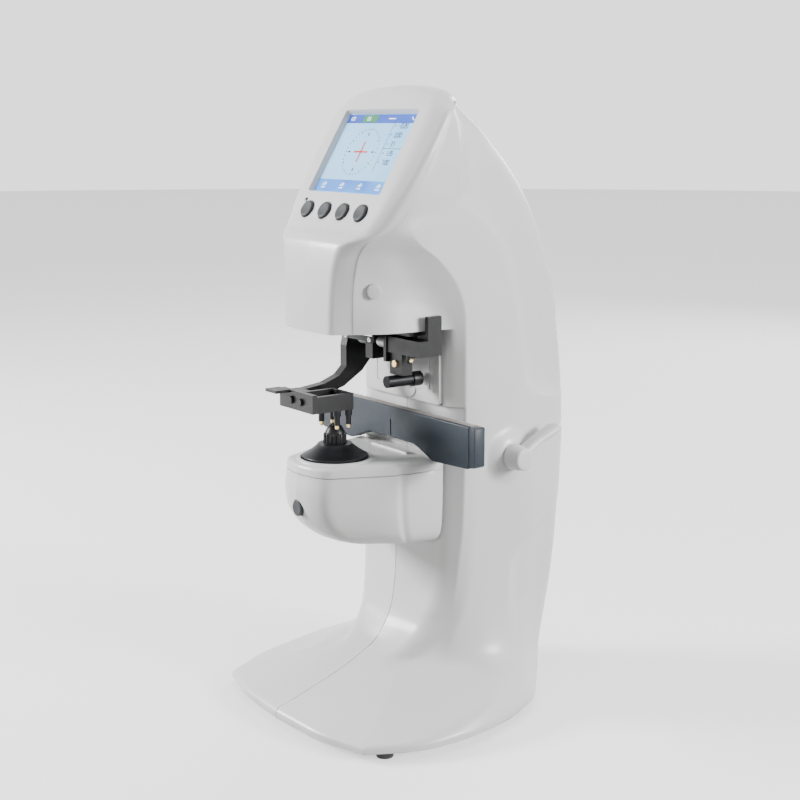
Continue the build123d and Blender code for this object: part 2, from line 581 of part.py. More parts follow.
def make_electronics():
    board = box((-52, -50.4), (92, 148), (70, 190))
    for y, z, w, h in ((105, 160, 16, 16), (128, 150, 12, 20), (110, 110, 22, 14), (135, 95, 10, 26)):
        board += box((-50.4, -47.4), (y - w / 2, y + w / 2), (z - h / 2, z + h / 2))
    save("main_board", board)
    supply = box((-38, 38), (108, 146), (7.2, 9)) + box((-34, -4), (112, 142), (9, 34)) + box((2, 34), (112, 142), (9, 28))
    save("power_supply", supply)
    inlet = box((INLET_X - INLET_W / 2 + GAP, INLET_X + INLET_W / 2 - GAP), (144, SOCKET_FACE_Y),
                (SOCKET_Z - INLET_H / 2 + GAP, SOCKET_Z + INLET_H / 2 - GAP))
    inlet += box((INLET_X - INLET_W / 2 - 3, INLET_X + INLET_W / 2 + 3), (SOCKET_FACE_Y, SOCKET_FACE_Y + 1.6),
                 (SOCKET_Z - INLET_H / 2 - 2.5, SOCKET_Z + INLET_H / 2 + 2.5))
    cavity = box((INLET_X - 10.5, INLET_X + 10.5), (150, 180), (SOCKET_Z - 6.5, SOCKET_Z + 6.5))
    for x in (-7, 0, 7):
        cavity -= box((INLET_X + x - 1, INLET_X + x + 1), (149, 165), (SOCKET_Z - 2, SOCKET_Z + 2))
    save("power_inlet", inlet - cavity)
    housing_box = box((SWITCH_X - SWITCH_W / 2 + GAP, SWITCH_X + SWITCH_W / 2 - GAP), (150, SOCKET_FACE_Y),
                      (SOCKET_Z - SWITCH_H / 2 + GAP, SOCKET_Z + SWITCH_H / 2 - GAP))
    housing_box += box((SWITCH_X - SWITCH_W / 2 - 2, SWITCH_X + SWITCH_W / 2 + 2),
                       (SOCKET_FACE_Y, SOCKET_FACE_Y + 1.6), (SOCKET_Z - SWITCH_H / 2 - 2, SOCKET_Z + SWITCH_H / 2 + 2))
    housing_box -= box((SWITCH_X - 5, SWITCH_X + 5), (155, 180), (SOCKET_Z - 8.2, SOCKET_Z + 8.2))
    pivot_y = SOCKET_FACE_Y - 3
    save("switch_housing", housing_box - rod("X", SWITCH_X - 5.8, SWITCH_X + 5.8, (pivot_y, SOCKET_Z), 1.35))
    rocker = [(pivot_y - 3, SOCKET_Z - 5), (pivot_y + 2.4, SOCKET_Z - 7), (pivot_y + 3.6, SOCKET_Z),
              (pivot_y + 6.2, SOCKET_Z + 6.6), (pivot_y - 3, SOCKET_Z + 5)]
    pivot = rod("X", SWITCH_X - 5.6, SWITCH_X + 5.6, (pivot_y, SOCKET_Z), 1.2)
    save("power_rocker", thick_side(rocker, SWITCH_X - 4.7, SWITCH_X + 4.7) + pivot)


# ---------------------------------------------------------------- base
def make_base():
    outline = closed_plan(pull_in(FLARE[SHELL_BOTTOM], WALL + 0.8), 4.6)
    plate = extrude(outline, amount=2.6, dir=(0, 0, 1))
    save("base_plate", plate)
    feet = []
    for x, y in FEET:
        foot = Pos(x, y, 4.6 / 2) * Cone(FOOT_R - 1.2, FOOT_R, 4.6)
        feet.append(foot)
    save("rubber_feet", Compound(children=feet))


def main():
    left, right, cover = split_shell(make_shell())
    save("left_shell", left)
    save("right_shell", right)
    save("rear_cover", make_rear_cover(cover))
    save("head_panel", make_head_panel())
    caps = [cap_cylinder(side, CAP_R, 3, 1.6) for side in (-1, 1)]
    save("screw_caps", Compound(children=caps))
    save("throat_cover", box((-43.5, 43.5), (THROAT_COVER_FACE, THROAT_WALL), (224.5, 275))
         - box((15, 30), (50, 70), (231.5, 233.5)))
    make_display()
    make_menu_keys()
    make_chin()
    make_nosepiece()
    make_optics()
    make_table()
    make_drive()
    make_lever()
    make_holder()
    make_bracket()
    make_marker()
    make_electronics()
    make_base()


main()
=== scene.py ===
"""Automatic lensmeter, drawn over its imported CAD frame.

Shapes are worked out in millimetres about the optical axis (X = 0 is the plane of symmetry,
Y = 0 the optical axis, the operator at -Y, Z = 0 the table) and placed in the row frame, whose
origin lies 60 mm behind the optical axis.
"""

import bpy
import bmesh
import json
import numpy as np
from math import cos, hypot, pi, radians, sin, tan
from mathutils import Matrix, Vector


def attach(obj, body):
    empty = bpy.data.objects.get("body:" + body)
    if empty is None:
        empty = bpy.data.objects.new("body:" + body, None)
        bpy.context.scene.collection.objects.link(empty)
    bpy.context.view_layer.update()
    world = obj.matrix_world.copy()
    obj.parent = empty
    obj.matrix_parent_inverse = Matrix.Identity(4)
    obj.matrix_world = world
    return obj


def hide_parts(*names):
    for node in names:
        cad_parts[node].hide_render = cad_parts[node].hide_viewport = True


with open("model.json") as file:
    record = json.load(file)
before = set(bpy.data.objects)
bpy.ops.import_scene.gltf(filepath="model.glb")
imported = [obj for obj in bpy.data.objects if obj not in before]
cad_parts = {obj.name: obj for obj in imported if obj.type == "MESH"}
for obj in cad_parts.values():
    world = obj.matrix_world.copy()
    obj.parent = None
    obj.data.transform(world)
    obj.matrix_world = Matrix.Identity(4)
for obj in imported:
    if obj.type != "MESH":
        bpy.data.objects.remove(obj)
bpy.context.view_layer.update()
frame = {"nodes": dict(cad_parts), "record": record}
AXIS_Y = -60.0
GAP = 0.35


# ---------------- mesh helpers
def place(points):
    """Points about the optical axis, in mm, to the row frame in metres."""
    points = np.asarray(points, float)
    return (points + np.array([0, AXIS_Y, 0])) / 1000.0


def mesh_object(name, points, faces, material, body="stand", sharp=35):
    """New piece from mm points, shaded smooth except across edges sharper than the angle."""
    mesh = bpy.data.meshes.new(name)
    mesh.from_pydata([tuple(p) for p in place(points)], [], [tuple(f) for f in faces])
    mesh.validate()
    piece = bpy.data.objects.new(name, mesh)
    bpy.context.collection.objects.link(piece)
    finish_mesh(piece, sharp)
    piece.data.materials.append(material)
    if body:
        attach(piece, body)
    return piece


def finish_mesh(piece, sharp=35):
    """Consistent outward normals and smooth shading between sharp edges."""
    work = bmesh.new()
    work.from_mesh(piece.data)
    bmesh.ops.remove_doubles(work, verts=work.verts, dist=1e-6)
    bmesh.ops.recalc_face_normals(work, faces=work.faces)
    work.to_mesh(piece.data)
    work.free()
    piece.data.shade_smooth()
    piece.data.set_sharp_from_angle(angle=radians(sharp))


def apply_modifiers(piece):
    """Makes the result of a piece's modifiers its own mesh."""
    graph = bpy.context.evaluated_depsgraph_get()
    result = bpy.data.meshes.new_from_object(piece.evaluated_get(graph))
    piece.modifiers.clear()
    piece.data = result


def carve(piece, *cutters, sharp=35):
    """Takes throwaway cutters out of a piece."""
    for cutter in cutters:
        change = piece.modifiers.new("carve", "BOOLEAN")
        change.operation = "DIFFERENCE"
        change.object = cutter
        change.solver = "EXACT"
        apply_modifiers(piece)
    for cutter in cutters:
        bpy.data.objects.remove(cutter)
    finish_mesh(piece, sharp)
    return piece


def soften(piece, width, segments=2, angle=30):
    """Rounds the sharp edges of a piece."""
    change = piece.modifiers.new("round", "BEVEL")
    change.width = width / 1000
    change.segments = segments
    change.limit_method = "ANGLE"
    change.angle_limit = radians(angle)
    apply_modifiers(piece)
    finish_mesh(piece, 50)
    return piece


def smooth_path(keys, steps):
    """Monotone cubic rows between key rows, with the given number of steps in each span."""
    keys = np.asarray(keys, float)
    count = len(keys)
    shape = keys.shape[1:]
    flat = keys.reshape(count, -1)
    delta = np.diff(flat, axis=0)
    slope = np.zeros_like(flat)
    inside = delta[:-1] * delta[1:] > 0
    total = delta[:-1] + delta[1:]
    safe = np.where(np.abs(total) < 1e-9, 1, total)
    slope[1:-1] = np.where(inside, 2 * delta[:-1] * delta[1:] / safe, 0)
    slope[0] = delta[0]
    slope[-1] = delta[-1]
    rows = []
    for i in range(count - 1):
        for k in range(steps[i]):
            t = k / steps[i]
            h00, h10 = 2 * t**3 - 3 * t**2 + 1, t**3 - 2 * t**2 + t
            h01, h11 = -2 * t**3 + 3 * t**2, t**3 - t**2
            rows.append(h00 * flat[i] + h10 * slope[i] + h01 * flat[i + 1] + h11 * slope[i + 1])
    rows.append(flat[-1])
    return np.array(rows).reshape((len(rows),) + shape)


def rounded_row(points, radii, spans, arc=5):
    """One open outline with its inner corners rounded and its straights divided."""
    points = np.asarray(points, float)
    row = []
    last = len(points) - 1
    start = points[0]
    for i in range(1, last + 1):
        before, here = points[i - 1], points[i]
        along = here - before
        length = max(np.linalg.norm(along), 1e-6)
        if i < last:
            after = points[i + 1] - here
            reach = min(radii[i], 0.45 * length, 0.45 * np.linalg.norm(after))
            entry = here - along / length * reach
        else:
            reach, entry = 0, here
        for k in range(spans[i - 1]):
            row.append(start + (entry - start) * k / spans[i - 1])
        if i < last:
            leave = here + after / max(np.linalg.norm(after), 1e-6) * reach
            for k in range(arc):
                t = k / arc
                row.append((1 - t) ** 2 * entry + 2 * t * (1 - t) * here + t**2 * leave)
            start = leave
    row.append(points[last])
    return np.array(row)


def grid_faces(rows, columns, closed=True):
    """Quads of a grid whose rows are closed outlines."""
    faces = []
    reach = columns if closed else columns - 1
    for i in range(rows - 1):
        for j in range(reach):
            k = (j + 1) % columns
            faces.append((i * columns + j, i * columns + k, (i + 1) * columns + k, (i + 1) * columns + j))
    return faces


def lofted(name, rows, material, body="stand", sharp=35):
    """Closed solid through rows of closed outlines, capped at both ends."""
    rows = np.asarray(rows)
    count, columns = rows.shape[:2]
    faces = grid_faces(count, columns)
    faces.append(tuple(range(columns)))
    faces.append(tuple(range((count - 1) * columns, count * columns)))
    return mesh_object(name, rows.reshape(-1, 3), faces, material, body, sharp)


def mirrored(half):
    """Closed outline from its right half, whose two ends lie on X = 0."""
    other = half[-2:0:-1].copy()
    other[:, 0] *= -1
    return np.concatenate([half, other])


def block(name, x, y, z, material, body="stand", rounding=0, segments=2):
    """Box between pairs of mm coordinates, with rounded edges."""
    points = [(a, b, c) for c in z for b in y for a in x]
    faces = [(0, 2, 3, 1), (4, 5, 7, 6), (0, 1, 5, 4), (2, 6, 7, 3), (0, 4, 6, 2), (1, 3, 7, 5)]
    piece = mesh_object(name, points, faces, material, body)
    return soften(piece, rounding, segments) if rounding else piece


def turned(name, profile, axis, material, body="stand", steps=64, sharp=35):
    """Solid of revolution: profile is (radius, distance along the axis); axis is a plane."""
    rings = []
    for radius, along in profile:
        ring = [axis @ Vector((radius * cos(2 * pi * k / steps), radius * sin(2 * pi * k / steps), along))
                for k in range(steps)]
        rings.append([tuple(p) for p in ring])
    return lofted(name, rings, material, body, sharp)


def extruded(name, outline, axis, low, high, material, body="stand", rounding=0, segments=2):
    """Flat outline, in a plane's own coordinates, given a thickness."""
    rows = [[tuple(axis @ Vector((u, v, w))) for u, v in outline] for w in (low, high)]
    piece = lofted(name, rows, material, body)
    return soften(piece, rounding, segments) if rounding else piece


def plane(origin, x_dir, z_dir):
    """Matrix from a plane's own mm coordinates to mm about the optical axis."""
    z_axis = Vector(z_dir).normalized()
    x_axis = Vector(x_dir).normalized()
    y_axis = z_axis.cross(x_axis)
    turn = Matrix((x_axis, y_axis, z_axis)).transposed().to_4x4()
    return Matrix.Translation(Vector(origin)) @ turn


UPRIGHT = plane((0, 0, 0), (1, 0, 0), (0, 0, 1))


def front_at(x, y, z):
    """Plane at a point, seen from the operator's side: its X to the right and its Y up."""
    return plane((x, y, z), (1, 0, 0), (0, -1, 0))


def right_at(x, y, z):
    """Plane at a point, seen from the object's right: its X to the rear and its Y up."""
    return plane((x, y, z), (0, 1, 0), (1, 0, 0))


def cut_block(x, y, z):
    """Throwaway box for carve."""
    return block("cutter", x, y, z, BODY, body=None)


def cut_turned(profile, axis, steps=48):
    """Throwaway solid of revolution for carve."""
    return turned("cutter", profile, axis, BODY, body=None, steps=steps)


def rounded_rectangle(width, height, radius, centre=(0, 0), arc=6):
    """Closed outline of a rectangle with arcs at its corners."""
    points = []
    for sx, sy, first in ((1, 1, 0), (-1, 1, 90), (-1, -1, 180), (1, -1, 270)):
        for k in range(arc + 1):
            a = radians(first + 90 * k / arc)
            points.append((centre[0] + sx * (width / 2 - radius) + radius * cos(a),
                           centre[1] + sy * (height / 2 - radius) + radius * sin(a)))
    return points


# ---------------- materials
def new_material(name):
    """New material, its node tree, its shader and the object's own coordinates."""
    material = bpy.data.materials.new(name)
    material.use_nodes = True
    tree = material.node_tree
    where = tree.nodes.new("ShaderNodeTexCoord").outputs["Object"]
    return material, tree, tree.nodes["Principled BSDF"], where


def noise(tree, where, scale, detail=3, roughness=0.5):
    """Noise over coordinates, as a value."""
    texture = tree.nodes.new("ShaderNodeTexNoise")
    texture.inputs["Scale"].default_value = scale
    texture.inputs["Detail"].default_value = detail
    texture.inputs["Roughness"].default_value = roughness
    tree.links.new(where, texture.inputs["Vector"])
    return texture.outputs["Fac"]


def ramp(tree, source, low, high):
    """Colour that runs between two shades with a value."""
    node = tree.nodes.new("ShaderNodeValToRGB")
    for element, position, colour in zip(node.color_ramp.elements, (0.35, 0.65), (low, high)):
        element.position = position
        element.color = (*colour, 1)
    tree.links.new(source, node.inputs["Fac"])
    return node.outputs["Color"]


def vary_roughness(tree, shader, source, low, high):
    """Roughness that runs between two limits with a value."""
    node = tree.nodes.new("ShaderNodeMapRange")
    for name, value in (("From Min", 0.3), ("From Max", 0.7), ("To Min", low), ("To Max", high)):
        node.inputs[name].default_value = value
    tree.links.new(source, node.inputs["Value"])
    tree.links.new(node.outputs["Result"], shader.inputs["Roughness"])


def emboss(tree, shader, source, strength, distance):
    """Fine relief that follows a value."""
    bump = tree.nodes.new("ShaderNodeBump")
    bump.inputs["Strength"].default_value = strength
    bump.inputs["Distance"].default_value = distance
    tree.links.new(source, bump.inputs["Height"])
    tree.links.new(bump.outputs["Normal"], shader.inputs["Normal"])


def moulded(name, colour, roughness=0.4, grain=0.04, grain_scale=2600, spread=0.03, metallic=0, coat=0,
            specular=0.5):
    """Moulded or coated surface: faint mottling, uneven sheen and a fine texture."""
    material, tree, shader, where = new_material(name)
    low = [c * (1 - spread) for c in colour]
    high = [min(c * (1 + spread), 1) for c in colour]
    tree.links.new(ramp(tree, noise(tree, where, 28, 4, 0.6), low, high), shader.inputs["Base Color"])
    vary_roughness(tree, shader, noise(tree, where, 140, 5, 0.65), roughness - 0.05, roughness + 0.06)
    emboss(tree, shader, noise(tree, where, grain_scale, 2), grain, 0.0002)
    shader.inputs["Metallic"].default_value = metallic
    shader.inputs["Specular IOR Level"].default_value = specular
    shader.inputs["Coat Weight"].default_value = coat
    shader.inputs["Coat Roughness"].default_value = 0.12
    return material


def brushed(name, colour, roughness=0.28, stretch=(40, 900, 900)):
    """Machined metal with fine lines along one axis."""
    material, tree, shader, where = new_material(name)
    mapping = tree.nodes.new("ShaderNodeMapping")
    mapping.inputs["Scale"].default_value = stretch
    tree.links.new(where, mapping.inputs["Vector"])
    lines = noise(tree, mapping.outputs["Vector"], 4, 6)
    low = [c * 0.82 for c in colour]
    tree.links.new(ramp(tree, lines, low, colour), shader.inputs["Base Color"])
    vary_roughness(tree, shader, lines, roughness - 0.08, roughness + 0.12)
    emboss(tree, shader, lines, 0.12, 0.0001)
    shader.inputs["Metallic"].default_value = 1.0
    return material


def lit(name, low, high, strength, scale=30):
    """Lit screen area: an even glow with a faint grain of cells."""
    material, tree, shader, where = new_material(name)
    colour = ramp(tree, noise(tree, where, scale, 2), low, high)
    tree.links.new(colour, shader.inputs["Base Color"])
    tree.links.new(colour, shader.inputs["Emission Color"])
    shader.inputs["Emission Strength"].default_value = strength
    shader.inputs["Roughness"].default_value = 0.25
    return material


def clear(name, colour, roughness=0.03):
    """Clear or tinted glass."""
    material, tree, shader, where = new_material(name)
    vary_roughness(tree, shader, noise(tree, where, 90), roughness, roughness + 0.05)
    shader.inputs["Base Color"].default_value = (*colour, 1)
    shader.inputs["Transmission Weight"].default_value = 1.0
    shader.inputs["IOR"].default_value = 1.5
    return material


BODY = moulded("body plastic", (0.640, 0.642, 0.636), roughness=0.36, grain=0.05, spread=0.012, coat=0.12)
BLACK = moulded("satin black coat", (0.007, 0.007, 0.008), roughness=0.36, grain=0.10, spread=0.12,
                specular=0.28)
BLACK_PLASTIC = moulded("black plastic", (0.007, 0.0075, 0.009), roughness=0.36, grain=0.06, spread=0.10,
                        specular=0.2)
TABLE = moulded("table blue grey", (0.013, 0.021, 0.031), roughness=0.42, grain=0.07, spread=0.06,
                specular=0.25)
RULE = moulded("rule strip", (0.20, 0.18, 0.165), roughness=0.42, grain=0.05, spread=0.05)
KEYS = moulded("key rubber", (0.026, 0.029, 0.033), roughness=0.5, grain=0.08, spread=0.06, specular=0.25)
RUBBER = moulded("foot rubber", (0.02, 0.02, 0.02), roughness=0.7, grain=0.2, spread=0.1)
STEEL = brushed("ground steel", (0.62, 0.62, 0.63))
BRASS = brushed("turned brass", (0.78, 0.60, 0.30), 0.25, (900, 900, 60))
CASTING = moulded("cast aluminium", (0.45, 0.46, 0.47), roughness=0.5, grain=0.5, grain_scale=900, spread=0.08,
                  metallic=0.9)
BOARD = moulded("solder mask", (0.02, 0.13, 0.06), roughness=0.3, grain=0.05, spread=0.15)
ZINC = moulded("zinc plated sheet", (0.42, 0.43, 0.44), roughness=0.38, grain=0.1, spread=0.12, metallic=0.85)
SCALE_INK = moulded("scale ink", (0.70, 0.70, 0.68), roughness=0.5)
OPTIC = clear("optical glass", (0.92, 0.97, 0.98))
LED = clear("lamp lens", (0.05, 0.25, 0.08), roughness=0.2)


# ---------------- side shells
SIDE_X = 61.5
# right half of the plan outline by height: X, Y of each control point from front centre to rear centre,
# with the inner crease third, the outer crease fourth and the rear corner seventh
SHELL_KEYS = [
    (4.2, [(0, -49.5), (47, -46), (83, -34), (101, 0), (103.5, 48), (83, 110), (47, 148), (0, 154)]),
    (6.5, [(0, -52), (49, -49.2), (87, -37.5), (105.8, -2), (108.6, 48), (86, 114), (48, 151), (0, 157)]),
    (10, [(0, -52.2), (49, -49.2), (86.5, -37), (105.5, -1), (108.6, 48), (86, 114), (48, 151.5), (0, 158)]),
    (13.5, [(0, -49.5), (48, -45.5), (83.5, -32), (102.5, 2), (107.3, 49), (85.5, 113), (48, 152),
         (0, 158.5)]),
    (17, [(0, -37), (40, -34), (74, -20), (98, 11), (105.2, 51), (84.5, 112), (48, 152.5), (0, 159)]),
    (21, [(0, -24), (34, -21.5), (66, -8), (90, 24), (101, 56), (83, 111), (48, 153), (0, 160)]),
    (26, [(0, -9), (30, -7), (57, 4), (79, 34), (91, 66), (80, 111), (48, 154), (0, 161)]),
    (32, [(0, 7.5), (27, 8.5), (47, 16), (66, 40), (80, 74), (74, 112), (48, 155), (0, 162.5)]),
    (39, [(0, 22.5), (26, 22), (38, 38), (56, 51), (72.5, 80), (69.5, 114), (48, 156.5), (0, 163.5)]),
    (45, [(0, 33.2), (29.5, 31), (41, 46.5), (54, 56), (68.5, 84), (66.5, 116), (48, 158), (0, 164.5)]),
    (52, [(0, 39), (33, 39.5), (44.5, 52), (54.5, 60), (66, 87), (64.5, 118), (48, 160), (0, 166)]),
    (62, [(0, 45.5), (37, 48.2), (49, 57.2), (56.5, 64), (64, 89), (63, 120), (48, 162.5), (0, 168)]),
    (74, [(0, 49.4), (41, 52.2), (52.5, 61.5), (58.5, 68), (62.8, 90), (62.2, 121), (48.5, 165), (0, 170)]),
    (92, [(0, 52), (45, 56.8), (55.8, 64.2), (60.3, 72), (62, 92), (61.7, 122), (48.5, 168), (0, 172.5)]),
    (112, [(0, 52.9), (47, 58.3), (57.5, 66), (61, 74), (61.6, 94), (SIDE_X, 123), (49, 170), (0, 174)]),
    (132, [(0, 53), (48, 59.2), (58.8, 67.6), (61.2, 76), (SIDE_X, 96), (SIDE_X, 124), (49.5, 171.3),
         (0, 175)]),
    (152, [(0, 53), (48, 59.6), (59.6, 68.2), (61.3, 77), (SIDE_X, 97), (SIDE_X, 125), (50, 172.6),
         (0, 175.8)]),
    (186.8, [(0, 53), (48, 60), (60, 68.8), (61.4, 78), (SIDE_X, 98), (SIDE_X, 126), (50, 174.2), (0, 177)]),
]
# above the lower housing the front is the throat's back wall
THROAT_KEYS = [
    (187, [(0, 63), (48, 63.4)] + SHELL_KEYS[-1][1][2:]),
    (223.8, [(0, 63), (48, 63.4), (60, 69), (61.4, 78), (SIDE_X, 98), (SIDE_X, 126), (50, 173.2),
         (0, 176.4)]),
]
LEDGE_KEYS = [
    (224.2, [(0, 58.4), (48, 60.4)] + THROAT_KEYS[-1][1][2:]),
    (252, [(0, 58.4), (49, 60.4), (60.2, 68.8), (61.4, 78), (SIDE_X, 98), (SIDE_X, 124), (50, 170.4),
         (0, 174)]),
    (279, [(0, 58.4), (52.3, 59), (60.3, 68.3), (61.4, 77), (SIDE_X, 96), (SIDE_X, 120), (50, 166.2),
         (0, 170)]),
]
# the head: from the front panel's seam over the inner arch and the throat corner to the rear corner,
# then the rear centre
HEAD_KEYS = [
    (279, [(35.6, -9.2), (47.5, 9.5), (52.3, 59), (60.3, 68.3), (61.4, 77), (61.5, 96), (61.5, 120),
         (50, 166.2)], 170),
    (291, [(36.2, -9.4), (46.6, 12), (50.6, 53), (60.8, 67.2), (61.4, 76), (61.5, 95), (61.5, 119),
         (51, 164.6)], 168.6),
    (301, [(36.6, -9.5), (45.8, 16), (49.4, 44.5), (61, 64.6), (61.4, 73), (61.5, 92), (61.5, 118),
         (51.5, 162)], 166),
    (308, [(37.2, -9.5), (45.6, 17), (49.2, 38.5), (61.3, 61), (61.5, 70), (61.5, 88), (61.5, 117),
         (52, 160)], 164.2),
    (318, [(38.6, -9.2), (46.4, 12), (50.2, 30), (61.7, 53.6), (61.6, 62), (61.6, 82), (61.5, 115),
         (52.5, 156.6)], 161),
    (330, [(41, -8.2), (47.8, 6), (51.8, 20), (61.9, 41), (61.8, 50), (61.8, 72), (61.6, 112),
         (53, 151.6)], 156.4),
    (339, [(47, -6.2), (52, 5), (55.8, 15), (61.6, 28), (62, 38), (62, 64), (61.7, 109),
         (53.5, 147.8)], 152.6),
    (347, [(54.6, 3.2), (57.6, 8), (60, 14), (61.8, 22), (62.3, 34), (62.2, 60), (61.8, 106),
         (53.8, 143.8)], 148.6),
    (359, [(60.6, 17), (61.4, 21), (62, 26), (62.4, 32), (62.6, 42), (62.4, 60), (61.9, 101),
         (54.2, 137.4)], 142.6),
    (375, [(62.6, 24.8), (63.2, 29), (63.4, 34), (63.4, 40), (63.2, 48), (62.8, 62), (61.9, 93),
         (55, 126.4)], 132.6),
    (389.5, [(63.6, 31.4), (64, 36), (63.9, 41), (63.6, 47), (63.2, 54), (62.6, 64), (61.4, 85),
         (55.4, 114.6)], 121.4),
    (403, [(63.8, 39.2), (64, 43.5), (63.6, 48), (63, 53), (62.4, 58), (61.4, 65), (59.8, 78),
         (53.6, 101)], 108.6),
    (414, [(62.8, 45.6), (62.6, 49), (62, 52.8), (61.2, 56.6), (60.2, 60.4), (58.8, 65.4), (56.8, 73),
         (51.2, 90)], 97),
    (422, [(60.6, 50.3), (60.2, 53), (59.4, 56), (58.4, 59), (57.2, 61.8), (55.6, 65.2), (53.4, 69.6),
         (48.6, 80)], 86.4),
    (428, [(57, 54), (56.5, 56), (55.6, 58), (54.6, 60), (53.4, 62), (51.6, 64.2), (49.4, 67.4),
         (45.6, 73.4)], 78.4),
    (431, [(54, 56), (53.4, 57.6), (52.6, 59.4), (51.6, 61.2), (50.4, 62.8), (48.8, 64.6), (47, 66.6),
         (43.4, 71)], 75.4),
]
# outlines of the two shallow recesses on each side behind the lever, as Y, Z
UPPER_RECESS = [(60, 366), (82, 352), (94, 340), (104, 325), (112, 296), (116.5, 278), (121, 250), (124, 237),
                (129, 229.7), (142, 224.5), (160, 221), (230, 216), (230, 460), (60, 460)]
LOWER_RECESS = [(230, 150), (172, 146), (156.5, 137), (120, 117), (112, 107), (110.5, 85), (112, 40),
                (230, 40)]
LEVER_AT = (107, 185.6)


def recess_depth(points, outline, width, depth):
    """How far the recess pulls the side in at each point: nothing at its outline, then a soft ramp."""
    y, z = points[:, 1], points[:, 2]
    inside = np.zeros(len(points), bool)
    nearest = np.full(len(points), 1e9)
    for (y0, z0), (y1, z1) in zip(outline, outline[1:] + outline[:1]):
        crosses = (z0 > z) != (z1 > z)
        at = (y1 - y0) * (z - z0) / (z1 - z0 if z1 != z0 else 1) + y0
        inside ^= crosses & (y < at)
        dy, dz = y1 - y0, z1 - z0
        t = np.clip(((y - y0) * dy + (z - z0) * dz) / (dy * dy + dz * dz), 0, 1)
        nearest = np.minimum(nearest, np.hypot(y - y0 - t * dy, z - z0 - t * dz))
    t = np.clip(nearest / width, 0, 1)
    return np.where(inside, depth * (1 - (1 - t) ** 2.8), 0)


def side_details(points, boss):
    """Adds the recesses, and on the lever's side its boss, to the right half's vertices."""
    moved = points.copy()
    flank = np.clip((points[:, 0] - 44) / 12, 0, 1)
    flank = flank * flank * (3 - 2 * flank)
    away = np.hypot(points[:, 1] - LEVER_AT[0], points[:, 2] - LEVER_AT[1])
    t = np.clip((21.0 - away) / 11, 0, 1)
    moved[:, 0] += (4.9 if boss else 0) * t * t * (3 - 2 * t) * flank
    fade = np.clip((points[:, 2] - 44) / 30, 0, 1)
    lower = recess_depth(points, LOWER_RECESS, 13, 4.8) * fade
    moved[:, 0] -= (recess_depth(points, UPPER_RECESS, 15, 5.4) + lower) * flank
    return moved


def shell_rows(keys, steps, radii, spans):
    """Rounded plan outlines at every height of a table of keys."""
    table = smooth_path([[(x, y, z) for x, y in outline] for z, outline in keys], steps)
    return [rounded_row(outline, radii, spans) for outline in table]


REAR_RADII = [20, 40, 15, 14, 0]
REAR_SPANS = [8, 12, 16, 18]


def body_rows():
    """Rows of the right half: the column up to the head's floor, and the head above it."""
    keys = SHELL_KEYS + THROAT_KEYS + LEDGE_KEYS
    steps = [2, 3, 3, 3, 3, 4, 4, 5, 4, 4, 5, 6, 8, 9, 9, 9, 15, 1, 16, 1, 12, 12]
    column = shell_rows(keys, steps, [0, 12, 1.2] + REAR_RADII, [14, 6, 5] + REAR_SPANS)
    keys = [(z, [(0, side[0][1])] + side + [(0, rear)]) for z, side, rear in HEAD_KEYS]
    steps = [6, 5, 4, 5, 6, 5, 4, 6, 8, 7, 7, 6, 5, 4, 3]
    head = shell_rows(keys, steps, [0, 0.8, 14, 12, 1.2] + REAR_RADII, [8, 10, 12, 6, 5] + REAR_SPANS)
    return np.array(column), np.array(head)


def half_shell(column, head, boss):
    """Closed right half of the housing: one grid below the head's floor, one above it."""
    low, low_across = column.shape[:2]
    high, high_across = head.shape[:2]
    shared = low_across - (14 + 5 + 6)
    points = side_details(np.concatenate([column.reshape(-1, 3), head.reshape(-1, 3)]), boss)
    points[:, 0] = np.maximum(points[:, 0], GAP)
    base = low * low_across
    faces = grid_faces(low, low_across, closed=False)
    faces += [tuple(base + k for k in face) for face in grid_faces(high, high_across, closed=False)]
    floor = [base + k for k in range(high_across - shared + 1)]
    floor += [(low - 1) * low_across + k for k in range(low_across - shared, -1, -1)]
    faces.append(tuple(floor))
    faces.append(tuple(range(low_across)))
    faces.append(tuple(range(base + (high - 1) * high_across, base + high * high_across)))
    fronts = [i * low_across for i in range(low)] + [base + i * high_across for i in range(high)]
    rears = [i * low_across + low_across - 1 for i in range(low)]
    rears += [base + i * high_across + high_across - 1 for i in range(1, high)]
    faces.append(tuple(fronts + rears[::-1]))
    return points, faces


COVER_HALF = 42.0
COVER_Z = (28, 318)


def cap_plane(side):
    """Where a screw cap sits on the head's side, with its axis outwards."""
    return plane((side * 43.7, 3, 308), (0, 0, 1), (side * 0.888, -0.46, 0))


def make_shells(column, head):
    """Left and right shells, open at the back and at the throat for their covers."""
    for name, side in (("shell_right", 1), ("shell_left", -1)):
        points, faces = half_shell(column, head, side > 0)
        points[:, 0] *= side
        shell = mesh_object(name, points, faces, BODY, sharp=40)
        half = COVER_HALF + GAP
        rear = cut_block((-half, half), (128, 200), (COVER_Z[0] - GAP, COVER_Z[1] + GAP))
        throat = cut_block((-44.4, 44.4), (50, 61.4), (224.4, 278.2))
        cap_seat = cut_turned([(5.7, 4), (5.7, -1.4)], cap_plane(side), 40)
        drive_bay = cut_block((-52, 52), (82, 150), (160, 216))
        carve(shell, rear, throat, cap_seat, drive_bay, sharp=40)
    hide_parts("right_shell")
    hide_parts("left_shell")


